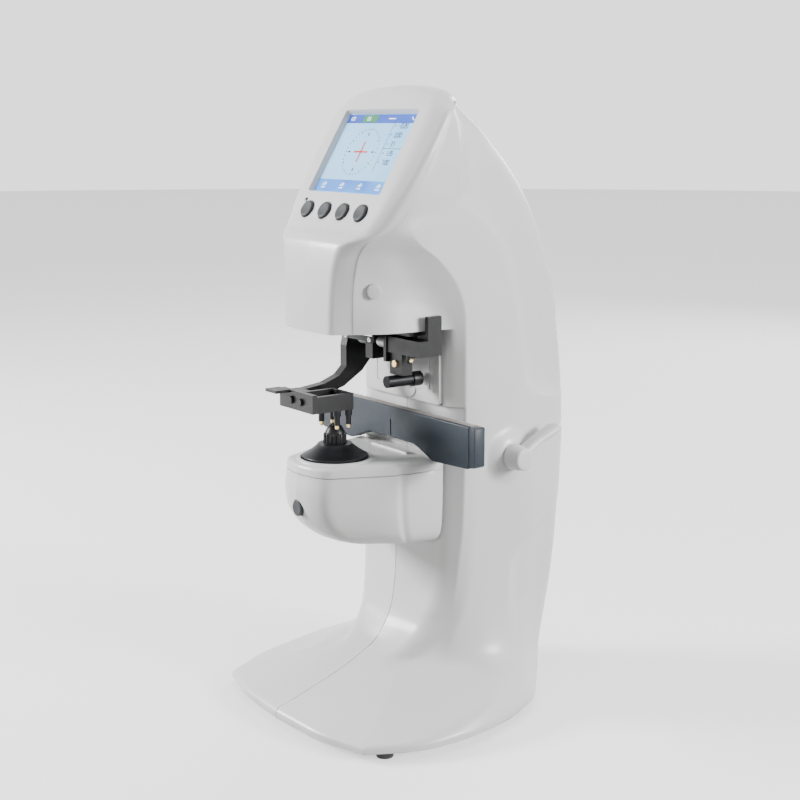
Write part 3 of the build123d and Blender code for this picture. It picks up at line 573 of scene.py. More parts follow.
def make_rear_cover(column, head):
    """Rear cover: the housing's own back surface, with vents and socket openings."""
    rows = [row for row in column[:-1] if row[0][2] > COVER_Z[0]]
    rows += [row for row in head if row[0][2] < COVER_Z[1]]
    xs = np.linspace(-COVER_HALF, COVER_HALF, 57)
    outlines = []
    heights = [COVER_Z[0]] + [row[0][2] for row in rows] + [COVER_Z[1]]
    for z, row in zip(heights, [rows[0]] + rows + [rows[-1]]):
        back = row[row[:, 1] > 120][::-1]
        ys = np.interp(np.abs(xs), back[:, 0], back[:, 1])
        ys -= 0.35 * np.clip((np.abs(xs) - COVER_HALF + 1.2) / 1.2, 0, 1) ** 2
        outer = [(x, y, z) for x, y in zip(xs, ys)]
        inner = [(x, y - 3, z) for x, y in zip(xs[::-1], ys[::-1])]
        outlines.append(outer + inner)
    cover = lofted("rear_cover_panel", outlines, BODY, sharp=40)
    openings = [(x, 236 + 8 * row, 28, 2.8, 1.3) for row in range(7) for x in (-20, 20)]
    openings += [(-16, 62, 33.6, 25.6, 1.2), (22, 62, 17.6, 23.6, 1.2)]
    cutters = [extruded("cutter", rounded_rectangle(w, h, radius, (x, 0), arc=3), front_at(0, 0, z), -200,
                        -120, BODY, body=None) for x, z, w, h, radius in openings]
    carve(cover, *cutters, sharp=40)
    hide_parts("rear_cover")


# ---------------- head panel and screen
LEAN = radians(31)
WINDOW_TOP = (43.4, 423.8)
WINDOW_W, WINDOW_H = 82.4, 61.6
PROUD = 3.6
FACE = plane((0, WINDOW_TOP[0] - WINDOW_H / 2 * sin(LEAN) - PROUD * cos(LEAN),
              WINDOW_TOP[1] - WINDOW_H / 2 * cos(LEAN) + PROUD * sin(LEAN)),
             (1, 0, 0), (0, -cos(LEAN), sin(LEAN)))
KEY_DOWN = -46.9
KEY_XS = (-32.25, -10.75, 10.75, 32.25)


def face_y(z):
    """Y of the bezel's front plane at a height."""
    return WINDOW_TOP[0] - PROUD / cos(LEAN) - (WINDOW_TOP[1] - z) * tan(LEAN)


def level(z, *outline):
    """Row of the panel that stays at one height."""
    return [(x, y, z) for x, y in outline]


def bezel(z, middle, edge, proud, rounding, seam):
    """Row of the panel that lies on the bezel's front plane as far as its rounded edge."""
    return [(0, face_y(z), z), (middle, face_y(z), z), (edge, face_y(z) + proud, z), rounding, seam]


# front centre, middle and end of the flat face, edge rounding and seam, from the head's floor over its crown
PANEL_KEYS = [
    level(279, (0, -24), (14, -23.7), (28.5, -22.6), (32, -16.5), (35.6, -9.4)),
    level(298, (0, -23.6), (14, -23.2), (28.6, -22.2), (32.4, -16.4), (36.5, -9.7)),
    level(316, (0, -22.8), (14.5, -22.4), (29.4, -21.4), (33.8, -16), (38.3, -9.5)),
    level(330, (0, -21.6), (16, -21.2), (32, -20.2), (37, -14.8), (41, -8.4)),
    [(0, -20, 339.5), (18, -19.6, 339.3), (36, -18.4, 338.8), (42.5, -12.8, 338.4), (46.8, -6.8, 338.6)],
    [(0, -15.6, 344.2), (21, -15, 344), (43, -13, 343.2), (49.6, -7.8, 342.4), (52.8, -1, 343.6)],
    [(0, -9.4, 347.2), (23.5, -8.9, 347.1), (47.5, -7.6, 346.8), (54.4, -2.6, 346.4), (56.6, 5, 347.6)],
    bezel(353, 25, 50.5, 0.3, (58.6, 3.2, 352.4), (60.2, 12.2, 354)),
    bezel(366, 26, 53, 0.2, (62.6, 10.6, 365.6), (63.6, 20.5, 366)),
    bezel(382, 27, 55, 0.2, (65.6, 20, 381.6), (66.2, 28.2, 382)),
    bezel(400, 27.5, 56, 0.2, (67, 30.8, 399.6), (67.2, 37.6, 400)),
    [(0, face_y(416), 416), (27.5, face_y(416), 416), (56, face_y(416) + 0.3, 415.8), (66.9, 40.2, 415.2),
     (66.9, 46.8, 415)],
    [(0, face_y(428), 428), (27, face_y(428), 427.8), (54.4, face_y(427) + 0.6, 427), (65.4, 46.6, 425.6),
     (65.4, 52.2, 425.4)],
    [(0, 47.2, 436.6), (26, 47, 436), (51, 47.2, 433.6), (61.8, 51.2, 430.6), (62.4, 55.2, 429.6)],
    [(0, 50.4, 440.6), (25, 50.4, 439.8), (47.5, 51, 437), (58, 53.8, 433.4), (59.6, 57, 431.6)],
    [(0, 55.2, 442.9), (24, 55.2, 442.1), (44.5, 55.6, 439), (54.4, 57.4, 435), (56.8, 59, 432.6)],
    [(0, 61, 443.5), (23, 61, 442.7), (43, 61, 439.6), (52.4, 61.2, 435.4), (54.6, 61.4, 432.4)],
    [(0, 66.4, 442.4), (22.5, 66.2, 441.6), (42, 65.8, 438.6), (50.6, 64.8, 434.6), (52.6, 64, 431.6)],
    [(0, 69.8, 439), (22, 69.4, 438.2), (40.5, 68.6, 435.6), (48.6, 66.6, 432.2), (50.6, 65.4, 429.6)],
]


def make_head_panel():
    """Front panel of the head: screen bezel, kick under the keys, and lower face."""
    table = smooth_path(PANEL_KEYS, [8, 8, 7, 6, 5, 4, 5, 8, 9, 10, 9, 7, 5, 4, 4, 4, 4, 4])
    rows = []
    for outline in table:
        row = rounded_row(outline, [0, 30, 9, 9, 0], [10, 10, 5, 4], arc=6)
        seam = row[-1]
        row[-1, 1] = row[-1, 1] - 0.3
        inner = np.array([(seam[0] - 1.2, seam[1], seam[2]), (0, seam[1], seam[2])])
        rows.append(mirrored(np.concatenate([row, inner])))
    panel = lofted("head_front_panel", rows, BODY, sharp=42)
    depth = [(4.6, 2.4, 0.6), (0, 1.2, -PROUD), (0, 1.2, -9)]
    reveal = []
    for more, radius, w in depth:
        outline = rounded_rectangle(WINDOW_W + more, WINDOW_H + more, radius)
        reveal.append([tuple(FACE @ Vector((u, v, w))) for u, v in outline])
    cutters = [lofted("cutter", reveal, BODY, body=None)]
    for x in KEY_XS:
        at = FACE @ Matrix.Translation((x, KEY_DOWN, 0))
        cutters.append(cut_turned([(7.3, 1), (7, 0), (6.5, -0.6), (6.5, -9)], at))
    lamp = FACE @ Matrix.Translation((-39.6, KEY_DOWN + 7.2, 0))
    cutters.append(cut_turned([(1.9, 1), (1.9, -4)], lamp, 32))
    carve(panel, *cutters, sharp=42)
    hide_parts("head_panel")
    return lamp


GLASS = FACE @ Matrix.Translation((0, 0, -PROUD))


def on_glass(name, width, height, radius, centre, low, high, material):
    """Flat rectangle on the screen, measured from its glass."""
    return extruded(name, rounded_rectangle(width, height, radius, centre), GLASS, low, high, material)


def stroke(x0, y0, x1, y1, width):
    """Outline of a straight stroke between two points."""
    length = hypot(x1 - x0, y1 - y0)
    nx, ny = -(y1 - y0) / length * width / 2, (x1 - x0) / length * width / 2
    return [(x0 + nx, y0 + ny), (x0 - nx, y0 - ny), (x1 - nx, y1 - ny), (x1 + nx, y1 + ny)]


def joined(name, outlines, low, high, material):
    """One piece from several flat outlines on the screen."""
    points, faces = [], []
    for outline in outlines:
        start, size = len(points), len(outline)
        points += [tuple(GLASS @ Vector((u, v, w))) for w in (low, high) for u, v in outline]
        faces.append(tuple(start + k for k in range(size)))
        faces.append(tuple(start + size + k for k in range(size)))
        faces += [(start + k, start + (k + 1) % size, start + size + (k + 1) % size, start + size + k)
                  for k in range(size)]
    return mesh_object(name, points, faces, material)


DIGIT_BARS = {"0": "abcdef", "1": "bc", "2": "abged", "3": "abgcd", "5": "afgcd", "7": "abc", "-": "g"}


def digit_strokes(text, x, y, height, width):
    """Seven-bar numerals as strokes."""
    strokes = []
    for letter in text:
        if letter == ".":
            strokes.append(stroke(x - height * 0.1, y - height / 2, x + height * 0.06, y - height / 2, width))
            x += height * 0.22
            continue
        w, h = height * 0.46, height / 2
        bars = {"a": (x, y + h, x + w, y + h), "b": (x + w, y, x + w, y + h), "c": (x + w, y - h, x + w, y),
                "d": (x, y - h, x + w, y - h), "e": (x, y - h, x, y), "f": (x, y, x, y + h),
                "g": (x, y, x + w, y)}
        strokes += [stroke(*bars[bar], width) for bar in DIGIT_BARS[letter]]
        x += height * 0.72
    return strokes


DIAL = (-7, 1)


def dial_tick(turn, inner, outer, width):
    """Radial tick of the screen's dial."""
    x, y, c, s = *DIAL, cos(turn), sin(turn)
    return stroke(x + inner * c, y + inner * s, x + outer * c, y + outer * s, width)


def make_screen(lamp):
    """Lit screen with a dial, a target cross and plain marks."""
    top, foot = WINDOW_H / 2 - 3.7, -WINDOW_H / 2
    pale = lit("screen pale blue", (0.20, 0.50, 0.86), (0.30, 0.62, 0.92), 0.55, 12)
    blue = lit("screen blue", (0.004, 0.05, 0.40), (0.01, 0.10, 0.55), 0.5)
    sky = lit("screen sky", (0.02, 0.16, 0.62), (0.06, 0.30, 0.80), 0.5)
    green = lit("screen green", (0.01, 0.20, 0.06), (0.03, 0.28, 0.09), 0.45)
    ink = lit("screen ink", (0.005, 0.01, 0.05), (0.01, 0.02, 0.08), 0.1)
    red = lit("screen red", (0.55, 0.03, 0.01), (0.65, 0.06, 0.02), 0.45)
    white = lit("screen white", (0.85, 0.93, 1), (0.92, 0.97, 1), 0.8)
    pieces = [
        on_glass("screen_glass", WINDOW_W + 1.5, WINDOW_H + 1.5, 1, (0, 0), -1.4, 0, pale),
        on_glass("screen_top_bar", WINDOW_W - 0.4, 7, 0.4, (0, top), 0.02, 0.06, blue),
        on_glass("screen_bottom_bar", WINDOW_W - 0.4, 9.6, 0.4, (0, foot + 5), 0.02, 0.06, sky),
        on_glass("screen_tab", 17, 5.6, 0.6, (-13.5, top), 0.07, 0.10, green),
    ]
    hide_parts("display_window")
    dial = [dial_tick(radians(10 * k), 16.6 if k % 3 == 0 else 17.4, 18.4, 0.55) for k in range(36)]
    dial += [dial_tick(radians(90 * k), 12.8, 15, 1.1) for k in range(4)]
    for row, text in enumerate(("-0.20", "0.00", "37", "1.35", "7.00")):
        y = 21.5 - row * 7.0
        dial += digit_strokes(text, 23.5, y, 3.4, 0.5) + [stroke(18.5, y, 20.4, y, 0.6)]
    dial += [stroke(17, 25.6, 17, -13.5, 0.35), stroke(17, 4, 40, 4, 0.35)]
    pieces.append(joined("screen_marks", dial, 0.02, 0.08, ink))
    x, y = DIAL
    cross = [stroke(x - 8, y, x + 8, y, 1.3), stroke(x, y - 8, x, y + 8, 1.3)]
    pieces.append(joined("screen_cross", cross, 0.09, 0.14, red))
    signs = []
    for x in KEY_XS:
        signs += [stroke(x - 2.4, foot + 3.4, x + 2.4, foot + 3.4, 0.7),
                  stroke(x - 2, foot + 5, x + 1, foot + 7.6, 0.9),
                  stroke(x + 0.4, foot + 4.6, x + 2.4, foot + 6.8, 0.8)]
    signs += digit_strokes("1.00", -38, top, 2.6, 0.4) + digit_strokes("0.5", -17, top, 2.6, 0.4)
    signs += [stroke(8, top, 16, top, 0.8), stroke(34, top + 1.1, 37, top - 1.1, 0.8)]
    pieces.append(joined("screen_signs", signs, 0.11, 0.15, white))
    led = turned("status_lens", [(1.7, -3.5), (1.7, -0.2), (1.4, 0.3), (0.7, 0.6)], lamp, LED, steps=32)
    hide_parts("status_lamp")


MEMORY_KEY_AT = (0, -31.4, 155.7)


def make_keys():
    """Soft dished keys under the screen, and the one on the lower housing."""
    profile = [(6.2, -3.4), (6.2, 0.9), (6, 1.35), (5.5, 1.6), (4.6, 1.62), (3.4, 1.45),
               (1.8, 1.32), (0.3, 1.28)]
    for number, x in enumerate(KEY_XS, 1):
        at = FACE @ Matrix.Translation((x, KEY_DOWN, 0))
        key = turned(f"soft_key_{number}", profile, at, KEYS, f"key_{number}", steps=56, sharp=60)
        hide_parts(f"menu_key_{number}")
    low = [(5.7, -4), (5.7, 0.6), (5.45, 1), (5, 1.2), (3.8, 1.2), (2, 1.05), (0.3, 1)]
    key = turned("soft_memory_key", low, front_at(*MEMORY_KEY_AT), KEYS, "memory", steps=56,
                 sharp=60)
    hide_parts("memory_key")


# ---------------- lower housing
CHIN_BACK = (0, 51.6)
# half outline by height: front centre, front corners, side, groove beside the column; all end at CHIN_BACK
CHIN_KEYS = [
    (179.3, [(0, -31.2), (14, -29.6), (25.4, -25.2), (34.4, -4.6), (42.2, 12.6), (45.2, 21), (44, 25),
         (46.4, 29), (48.6, 58.2)]),
    (168, [(0, -33), (14, -31.2), (26, -26.6), (35, -5.4), (42.6, 12.4), (45.4, 21), (44.2, 25),
         (46.4, 29), (48.6, 58.2)]),
    (156, [(0, -31.6), (14, -29.9), (25.8, -25.2), (34.9, -4.2), (42.4, 13), (45.2, 21.4), (44, 25.4),
         (46.2, 29.3), (48.4, 58.2)]),
    (148, [(0, -28.2), (13.8, -26.6), (25.2, -21.8), (34.4, -1.8), (42, 14.5), (44.8, 22.2), (43.6, 26),
         (45.9, 29.9), (48.2, 58)]),
    (140.5, [(0, -22.6), (13.4, -21), (24.4, -16.2), (33.6, 2), (41.2, 17), (44, 24), (42.9, 27.6),
         (45.2, 31.2), (47.8, 57.9)]),
    (135, [(0, -16), (13, -14.4), (23.4, -9.8), (32.4, 7), (40, 20), (42.8, 26.4), (41.8, 29.6),
         (44.2, 33), (47, 57.7)]),
    (130.5, [(0, -8), (12.4, -6.5), (22, -2), (30.6, 13), (37.6, 24), (40.2, 29.6), (39.4, 32.4),
         (41.8, 35.6), (45, 57.4)]),
    (127.5, [(0, 2), (11.5, 3.4), (20, 7.4), (28, 20), (34, 29), (36.4, 33.6), (35.9, 36), (38, 38.8),
         (41.6, 56.8)]),
    (125.6, [(0, 16), (10, 17), (17, 20), (24, 29), (29, 35), (31, 38), (30.9, 40), (33, 42), (36.5, 56.2)]),
    (125, [(0, 30), (8, 30.6), (13, 32.5), (19, 37), (23.5, 40.5), (25, 42), (25.4, 43), (27, 44.5),
         (31, 55.4)]),
]
CHIN_RADII = [0, 8, 9, 12, 9, 3, 2.5, 2.5, 0.6, 0]
CHIN_SPANS = [6, 4, 8, 6, 3, 2, 2, 8, 10]


def make_chin():
    """Lower housing, its lid, and the collar and ridge on the lid."""
    table = smooth_path([[(x, y, z) for x, y in outline + [CHIN_BACK]] for z, outline in CHIN_KEYS],
                        [4, 4, 5, 5, 5, 5, 5, 4, 3])
    rows = [mirrored(rounded_row(outline, CHIN_RADII, CHIN_SPANS)) for outline in table]
    lip = rows[0].copy()
    lip[:, :2] = inset(lip[:, :2], 0.5)
    lip[:, 2] = 179.65
    chin = lofted("lower_housing", [lip] + rows, BODY, sharp=44)
    carve(chin, cut_turned([(6.1, 6), (6.1, -10)], front_at(*MEMORY_KEY_AT)), sharp=44)
    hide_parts("chin_housing")

    top = rows[0].copy()
    rings = []
    for z, step in ((180, 0.5), (180.4, 0), (184.6, 0.1), (185.9, 0.6), (186.7, 1.5), (187, 2.8)):
        ring = top.copy()
        ring[:, :2] = inset(top[:, :2], step)
        ring[:, 2] = z
        rings.append(ring)
    lid = lofted("lower_housing_lid", rings, BODY, sharp=44)
    carve(lid, cut_turned([(24, 189), (24, 185.6)], UPRIGHT, 72), sharp=44)
    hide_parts("chin_cover")
    collar = [(23.9, 185.2), (23.9, 187.4), (24.3, 188.1), (25, 188.45), (25.8, 188.2), (26.5, 187.5),
              (27, 186.8), (27, 185.2)]
    turned("nosepiece_collar", collar, UPRIGHT, BODY, steps=96, sharp=50)
    ridge = [(-22.5, -0.6), (22.5, -0.6), (21.2, 1.7), (-21.2, 1.7)]
    extruded("lid_back_ridge", ridge, front_at(0, 46, 186.8), -5.5, 0, BODY, rounding=0.6, segments=3)


def inset(points, step):
    """Plan points moved towards the inside of their outline."""
    after, before = np.roll(points, -1, axis=0), np.roll(points, 1, axis=0)
    along = after - before
    length = np.maximum(np.linalg.norm(along, axis=1, keepdims=True), 1e-6)
    normal = np.stack([-along[:, 1], along[:, 0]], axis=1) / length
    step = step * np.clip((52.0 - points[:, 1:2]) / 8, 0, 1)
    area = np.sum(points[:, 0] * after[:, 1] - after[:, 0] * points[:, 1])
    return points + normal * step * (1 if area > 0 else -1)


def ribbed(name, profile, ribs, depth, material, body="stand", steps=180):
    """Turned upright piece whose radius ripples: profile is (radius, height, share of the rib depth)."""
    rings = []
    for radius, z, share in profile:
        ring = []
        for k in range(steps):
            a = 2 * pi * k / steps
            r = radius + depth * share * min(max(1.6 * cos(ribs * a), -1), 1)
            ring.append((r * cos(a), r * sin(a), z))
        rings.append(ring)
    return lofted(name, rings, material, body, 30)


def make_nosepiece():
    """Dished foot and ribbed stem that the lens rests on."""
    profile = [(22.6, 187.7), (23.2, 188), (23.3, 189.2), (22.9, 189.8), (21.6, 190.4), (17.6, 193),
               (14, 195.8), (12.6, 197.2), (12, 198), (9.2, 198.3)]
    skirt = turned("nosepiece_foot", profile, UPRIGHT, BLACK_PLASTIC, steps=96, sharp=30)
    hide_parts("nosepiece_skirt")
    profile = [(8.6, 197.8, 0), (8.6, 198.6, 0), (7.8, 199, 1), (7.7, 204.4, 1), (7.4, 205, 1),
               (7.1, 205.3, 0), (6.9, 206.2, 0), (5.6, 208.6, 0), (4.6, 210.4, 0), (4.1, 210.95, 0),
               (3.4, 211, 0), (3, 210.4, 0), (2.7, 206, 0)]
    stem = ribbed("nosepiece_stem", profile, 18, 0.45, BLACK_PLASTIC)
    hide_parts("nosepiece")


# ---------------- throat cover, lever, caps
def make_throat_cover():
    """Cover in the throat's back wall, with the outline of the ribbon door and its finger pull."""
    cover = extruded("throat_back_panel", rounded_rectangle(88.2, 53.2, 2.2, (0, 251.2)), front_at(0, 0, 0),
                     -61, -57.7, BODY, rounding=0.5)
    door_gaps = ((-30, 34), (233.2, 234.1)), ((33.1, 34), (234, 274)), ((-30, -29.1), (234, 274))
    cutters = [cut_block(x, (56, 58.6), z) for x, z in door_gaps]
    cutters.append(cut_block((19, 31), (56, 58.9), (235.4, 237)))
    carve(cover, *cutters, sharp=40)
    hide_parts("throat_cover")
    pull = [(7.2 * cos(pi + pi * k / 20), 7.2 * sin(pi + pi * k / 20)) for k in range(21)]
    extruded("ribbon_door_pull", pull, front_at(10.5, 57.8, 233), -0.4, 0.9, BODY, rounding=0.5, segments=3)


LEVER_RISE = radians(32)
LEVER_X = 73.5


def make_lever():
    """Tapered hub and a flat paddle that leaves it upwards and back."""
    profile = [(8.6, 66.7), (9.3, 66.9), (9.5, 67.5), (9.3, 70), (8.6, 74.5), (8, 78.4), (7.7, 79.6),
               (7.2, 80.2), (6.4, 80.4), (3, 80.5), (0.3, 80.5)]
    hub = turned("lever_hub", profile, right_at(0, *LEVER_AT), BODY, "lever", steps=72, sharp=60)
    # distance from the hub's axis, inner and outer X, thickness, bow
    sections = [(0, 67.6, 79.2, 10, 0), (7, 67.5, 79.3, 8.6, 0.3), (12, 67.8, 79, 7.2, 0.8),
                (18, 68, 78.9, 6.2, 0.9), (24, 67.7, 79.2, 6, 0.3), (30, 67.4, 79.6, 6.2, -0.8),
                (35, 67.4, 79.6, 6.2, -1.8), (38.2, 67.9, 79.1, 5.6, -2.4), (40.2, 69, 78, 4.6, -2.8),
                (41.2, 70.6, 76.4, 3.2, -3)]
    table = smooth_path(sections, [3, 3, 3, 3, 3, 3, 3, 2, 2])
    rings = []
    for along, low, high, thick, bow in table:
        ring = rounded_rectangle(high - low, thick, min(2.8, thick / 2 - 0.1), ((low + high) / 2 - LEVER_X, 0))
        rings.append([(LEVER_X + x, LEVER_AT[0] + along * cos(LEVER_RISE) - (v + bow) * sin(LEVER_RISE),
                       LEVER_AT[1] + along * sin(LEVER_RISE) + (v + bow) * cos(LEVER_RISE)) for x, v in ring])
    arm = lofted("lever_handle", rings, BODY, "lever", sharp=60)
    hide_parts("side_lever")
    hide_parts("side_lever")


def make_caps():
    """Round covers over the screws in the head's sides."""
    profile = [(5.1, -1.2), (5.1, 0.5), (4.95, 0.85), (4.6, 1.05), (3, 1.2), (0.3, 1.25)]
    for name, side in (("screw_cap_right", 1), ("screw_cap_left", -1)):
        cap = turned(name, profile, cap_plane(side), BODY, steps=56, sharp=50)
        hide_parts("screw_caps")


# ---------------- lens table
TABLE_Y, TABLE_T, TABLE_HALF, TABLE_TOP = 48.1, 9, 95.3, 218.1


def make_table():
    """Lens table: bevelled bar with end caps, a centre index and a rule strip along its top edge."""
    half = [(0, TABLE_TOP), (TABLE_HALF - 6.4, TABLE_TOP), (TABLE_HALF - 6.4, 189.6), (87, 188.7), (51, 187),
            (49, 187.2), (30, 194.4), (27, 195.4), (24, 195.6), (0, 195.6)]
    outline = half + [(-x, z) for x, z in reversed(half) if x > 0]
    face = front_at(0, TABLE_Y, 0)
    plate = extruded("table_bar", outline, face, -TABLE_T, 0, TABLE, "table", rounding=0.9, segments=3)
    index_line = cut_block((-0.55, 0.55), (TABLE_Y - 1, TABLE_Y + 1), (196.6, 209))
    tray = cut_block((-TABLE_HALF - 2, TABLE_HALF + 2), (TABLE_Y + 2.1, TABLE_Y + TABLE_T + 1),
                     (TABLE_TOP - 1.2, TABLE_TOP + 2))
    carve(plate, index_line, tray, sharp=30)
    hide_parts("lens_table")
    for name, side in (("table_end_right", 1), ("table_end_left", -1)):
        end = [(side * (TABLE_HALF - 6.2), TABLE_TOP - 0.2), (side * (TABLE_HALF - 0.6), TABLE_TOP - 0.2),
               (side * TABLE_HALF, TABLE_TOP - 1.4), (side * TABLE_HALF, 191.4),
               (side * (TABLE_HALF - 1.4), 190.4),
               (side * (TABLE_HALF - 6.2), 189.8)]
        cap = extruded(name, end, face, -TABLE_T + 0.1, -0.1, TABLE, "table", rounding=0.45, segments=3)
    strip = block("table_scale_strip", (-TABLE_HALF + 6.8, TABLE_HALF - 6.8), (TABLE_Y + 2.3, TABLE_Y + 8.8),
                  (TABLE_TOP - 1.3, TABLE_TOP + 0.05), RULE, "table", rounding=0.25)
    points, faces = [], []
    for k in range(-42, 43):
        start, at, reach = len(points), 2.0 * k, 2.6 if k % 5 == 0 else 1.5
        mark = [(at - 0.12, -reach), (at + 0.12, -reach), (at + 0.12, 0), (at - 0.12, 0)]
        points += [(x, TABLE_Y + 6.9 - v, z) for z in (TABLE_TOP - 0.1, TABLE_TOP + 0.11) for x, v in mark]
        faces += [(start, start + 1, start + 2, start + 3), (start + 4, start + 5, start + 6, start + 7)]
        faces += [(start + k, start + (k + 1) % 4, start + 4 + (k + 1) % 4, start + 4 + k) for k in range(4)]
    scale = mesh_object("table_scale_marks", points, faces, SCALE_INK, "table")
    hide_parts("table_rule")


# ---------------- small parts of the mechanism
def tube_along(name, centres, radius, material, body, sides=10):
    """Round wire through points, with rings square to the path."""
    centres = [Vector(c) for c in centres]
    rings = []
    side = None
    for k, here in enumerate(centres):
        ahead = (centres[min(k + 1, len(centres) - 1)] - centres[max(k - 1, 0)]).normalized()
        if side is None:
            side = ahead.orthogonal().normalized()
        side = (side - ahead * side.dot(ahead)).normalized()
        other = ahead.cross(side)
        turns = [2 * pi * j / sides for j in range(sides)]
        rings.append([tuple(here + side * radius * cos(a) + other * radius * sin(a)) for a in turns])
    return lofted(name, rings, material, body, 60)


PIVOT = (35.7, 267.5)


def spring(name, start, run, turns, steps, tail):
    """Wire coiled about the throat's shaft, from an X along it, with a straight tail."""
    y, z = PIVOT
    coil = []
    for k in range(steps + 1):
        a = 2 * pi * turns * k / steps
        coil.append((start + run * k / steps, y + 3.7 * cos(a), z + 3.7 * sin(a)))
    tube_along(name, coil + [tail], 0.42, STEEL, "stand")


def make_mechanism():
    """Springs, clips and screws on the throat's shaft, over the CAD arms."""
    y, z = PIVOT
    spring("return_spring", -18.6, 11.4, 8, 160, (-7, y + 6.5, z - 9))
    spring("marker_spring", 5.2, 9.6, 7, 140, (15.4, y + 8, z - 8))
    profile = [(2.4, 0), (4.3, 0.05), (4.4, 0.3), (4.3, 0.7), (2.4, 0.75)]
    for number, x in enumerate((-29.4, 42.2), 1):
        turned(f"shaft_clip_{number}", profile, right_at(x, y, z), STEEL, steps=40)
    guard = block("lamp_guard", (-20, 15.6), (21.5, 24.4), (268.4, 275.2), BLACK, rounding=0.8)
    block("guide_rail", (-19, 15), (20.9, 22.2), (272.6, 275), STEEL, rounding=0.35)
    profile = [(1.9, -0.4), (1.9, 0.7), (1.6, 1.05), (1.1, 1.1), (1, 0.6), (0.2, 0.5)]
    for number, x in enumerate((-16.4, 12.2), 1):
        turned(f"guard_screw_{number}", profile, front_at(x, 21.4, 270.4), STEEL, steps=28)
    outline = [(-1.9, 3.4), (1.9, 3.4), (2.6, -9.2), (1.2, -11.6), (-1.2, -11.6), (-2.6, -9.2)]
    link = extruded("marker_link", outline, right_at(38.2, y, z), 0, 2.4, BLACK, "marker", rounding=0.5)
    profile = [(1.5, 2.3), (1.5, 3.2), (1.2, 3.6), (0.2, 3.7)]
    turned("link_pin", profile, right_at(38.2, y, z - 9.4), BRASS, "marker", steps=28)


def make_board():
    """Circuit board behind the left side, with its chips, sockets and capacitors."""
    board = block("logic_board", (-47.6, -46), (92, 138), (72, 186), BOARD, rounding=0.2)
    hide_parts("main_board")
    # centre Y and Z, width, height and depth of each chip or socket
    chips = ((104, 162, 15, 15, 1.6), (124, 150, 11, 18, 1.4), (108, 112, 20, 12, 1.6), (129, 96, 8, 22, 6.5),
             (98, 84, 9, 14, 7))
    for number, (y, z, w, h, deep) in enumerate(chips, 1):
        chip = block(f"board_chip_{number}", (-46.1, -46.0 + deep), (y - w / 2, y + w / 2),
                     (z - h / 2, z + h / 2), BLACK_PLASTIC, rounding=0.35)
    profile = [(2.8, -0.2), (3.1, 0.3), (3.1, 1.4), (2.8, 1.8), (3.1, 2.2), (3.1, 8.4), (2.7, 8.8), (0.2, 8.8)]
    for number, (y, z) in enumerate(((122, 122), (130, 122), (122, 176)), 1):
        turned(f"board_capacitor_{number}", profile, right_at(-46, y, z), ZINC, steps=32)


FINISH = {"body_plastic": BODY, "table_plastic": TABLE, "mechanism_black": BLACK,
          "black_plastic": BLACK_PLASTIC, "key_rubber": KEYS, "window": OPTIC, "lamp_lens": LED,
          "rule_trim": RULE, "steel": STEEL, "brass": BRASS, "casting": CASTING, "optic_glass": OPTIC,
          "board": BOARD, "foot_rubber": RUBBER, "zinc": ZINC}


def finish_nodes():
    """Gives each shown CAD node its finish and eases its edges."""
    slots = {part["node"]: part["material_slot"] for part in frame["record"]["subparts"]}
    # edge rounding in mm
    eased = {"holder_arm": 1, "finger_tab": 0.6, "pin_frame": 0.7, "marking_lever": 0.8,
             "marker_carriage": 0.8, "mechanism_bracket": 0.5, "marker_knob": 0.4, "power_rocker": 0.5,
             "power_inlet": 0.4, "switch_housing": 0.4, "ink_cartridge": 0.4, "shaft_bracket": 0.5,
             "rod_yoke": 0.5}
    for name, node in frame["nodes"].items():
        if node.hide_render:
            continue
        node.data.materials.clear()
        node.data.materials.append(FINISH[slots[name]])
        if name in eased:
            change = node.modifiers.new("eased", "BEVEL")
            change.width = eased[name] / 1000
            change.segments = 2
            change.limit_method = "ANGLE"
            change.angle_limit = radians(40)


column_rows, head_rows = body_rows()
make_shells(column_rows, head_rows)
make_rear_cover(column_rows, head_rows)
make_screen(make_head_panel())
make_keys()
make_chin()
make_nosepiece()
make_throat_cover()
make_lever()
make_caps()
make_table()
make_mechanism()
make_board()
finish_nodes()


# ---------------- stage, light and camera
def glow(piece, strength):
    """Stage surface that shows pale from every side and throws no light of its own on the object."""
    shader = piece.data.materials[0].node_tree.nodes["Principled BSDF"]
    shader.inputs["Emission Color"].default_value = (1, 1, 1, 1)
    shader.inputs["Emission Strength"].default_value = strength
    piece.visible_diffuse = False
    piece.visible_shadow = False


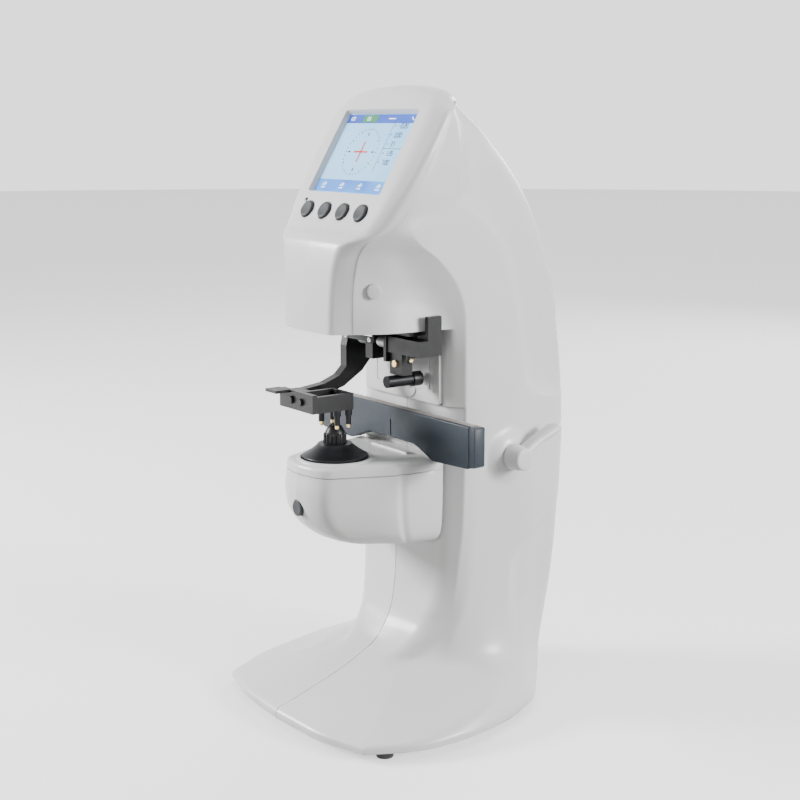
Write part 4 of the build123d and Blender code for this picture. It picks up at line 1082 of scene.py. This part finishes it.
def aimed(name, data, at, direction):
    """Object for a lamp or camera, at a place in metres, that looks in a direction."""
    holder = bpy.data.objects.new(name, data)
    holder.location = at
    holder.rotation_mode = "QUATERNION"
    holder.rotation_quaternion = direction.to_track_quat("-Z", "Y")
    bpy.context.collection.objects.link(holder)
    return holder


def make_stage():
    """Pale floor and backdrop, even world light and four soft lamps."""
    floor = mesh_object("floor", [(-9000, -9000, 0), (9000, -9000, 0), (9000, 9000, 0), (-9000, 9000, 0)],
                        [(0, 1, 2, 3)], moulded("floor paper", (0.70, 0.70, 0.70), roughness=0.85,
                                                spread=0.005, specular=0.1), body=None)
    glow(floor, 0.95)
    rings = []
    for k in range(13):
        a = radians(-4 + 94 * k / 12)
        across = 8500 * cos(a)
        rings.append([(across * cos(2 * pi * j / 48), across * sin(2 * pi * j / 48), 8500 * sin(a))
                      for j in range(48)])
    points = np.array(rings).reshape(-1, 3)
    backdrop = mesh_object("backdrop", points, grid_faces(13, 48),
                           moulded("backdrop paper", (0.05, 0.05, 0.05), roughness=0.9, spread=0.005,
                                   specular=0), body=None)
    glow(backdrop, 1.9)
    world = bpy.data.worlds.new("studio")
    bpy.context.scene.world = world
    world.use_nodes = True
    world.node_tree.nodes["Background"].inputs["Color"].default_value = (1, 1, 1, 1)
    world.node_tree.nodes["Background"].inputs["Strength"].default_value = 0.42
    for name, at, size, power in (("left", (-1.30, -1.35, 0.9), 0.6, 84),
                                  ("right", (1.75, 0.95, 0.8), 0.6, 62),
                                  ("top", (0.1, 0, 1.9), 0.9, 13), ("back", (-0.8, 1.9, 1), 0.8, 22)):
        lamp = bpy.data.lights.new(name, "AREA")
        lamp.size = size
        lamp.energy = power
        aimed(name, lamp, at, Vector((0, 0, 0.2)) - Vector(at))


def make_camera():
    """Camera solved from the photograph: its place, direction and lens."""
    azimuth, pitch = radians(53.59), radians(10.91)
    back = Vector((sin(azimuth) * cos(pitch), -cos(azimuth) * cos(pitch), sin(pitch)))
    camera = bpy.data.cameras.new("camera")
    camera.lens = 64.54
    camera.sensor_width = 36.0
    bpy.context.scene.camera = aimed("camera", camera, Vector((816.4, -605.6, 417.4)) / 1000, -back)


make_stage()
make_camera()
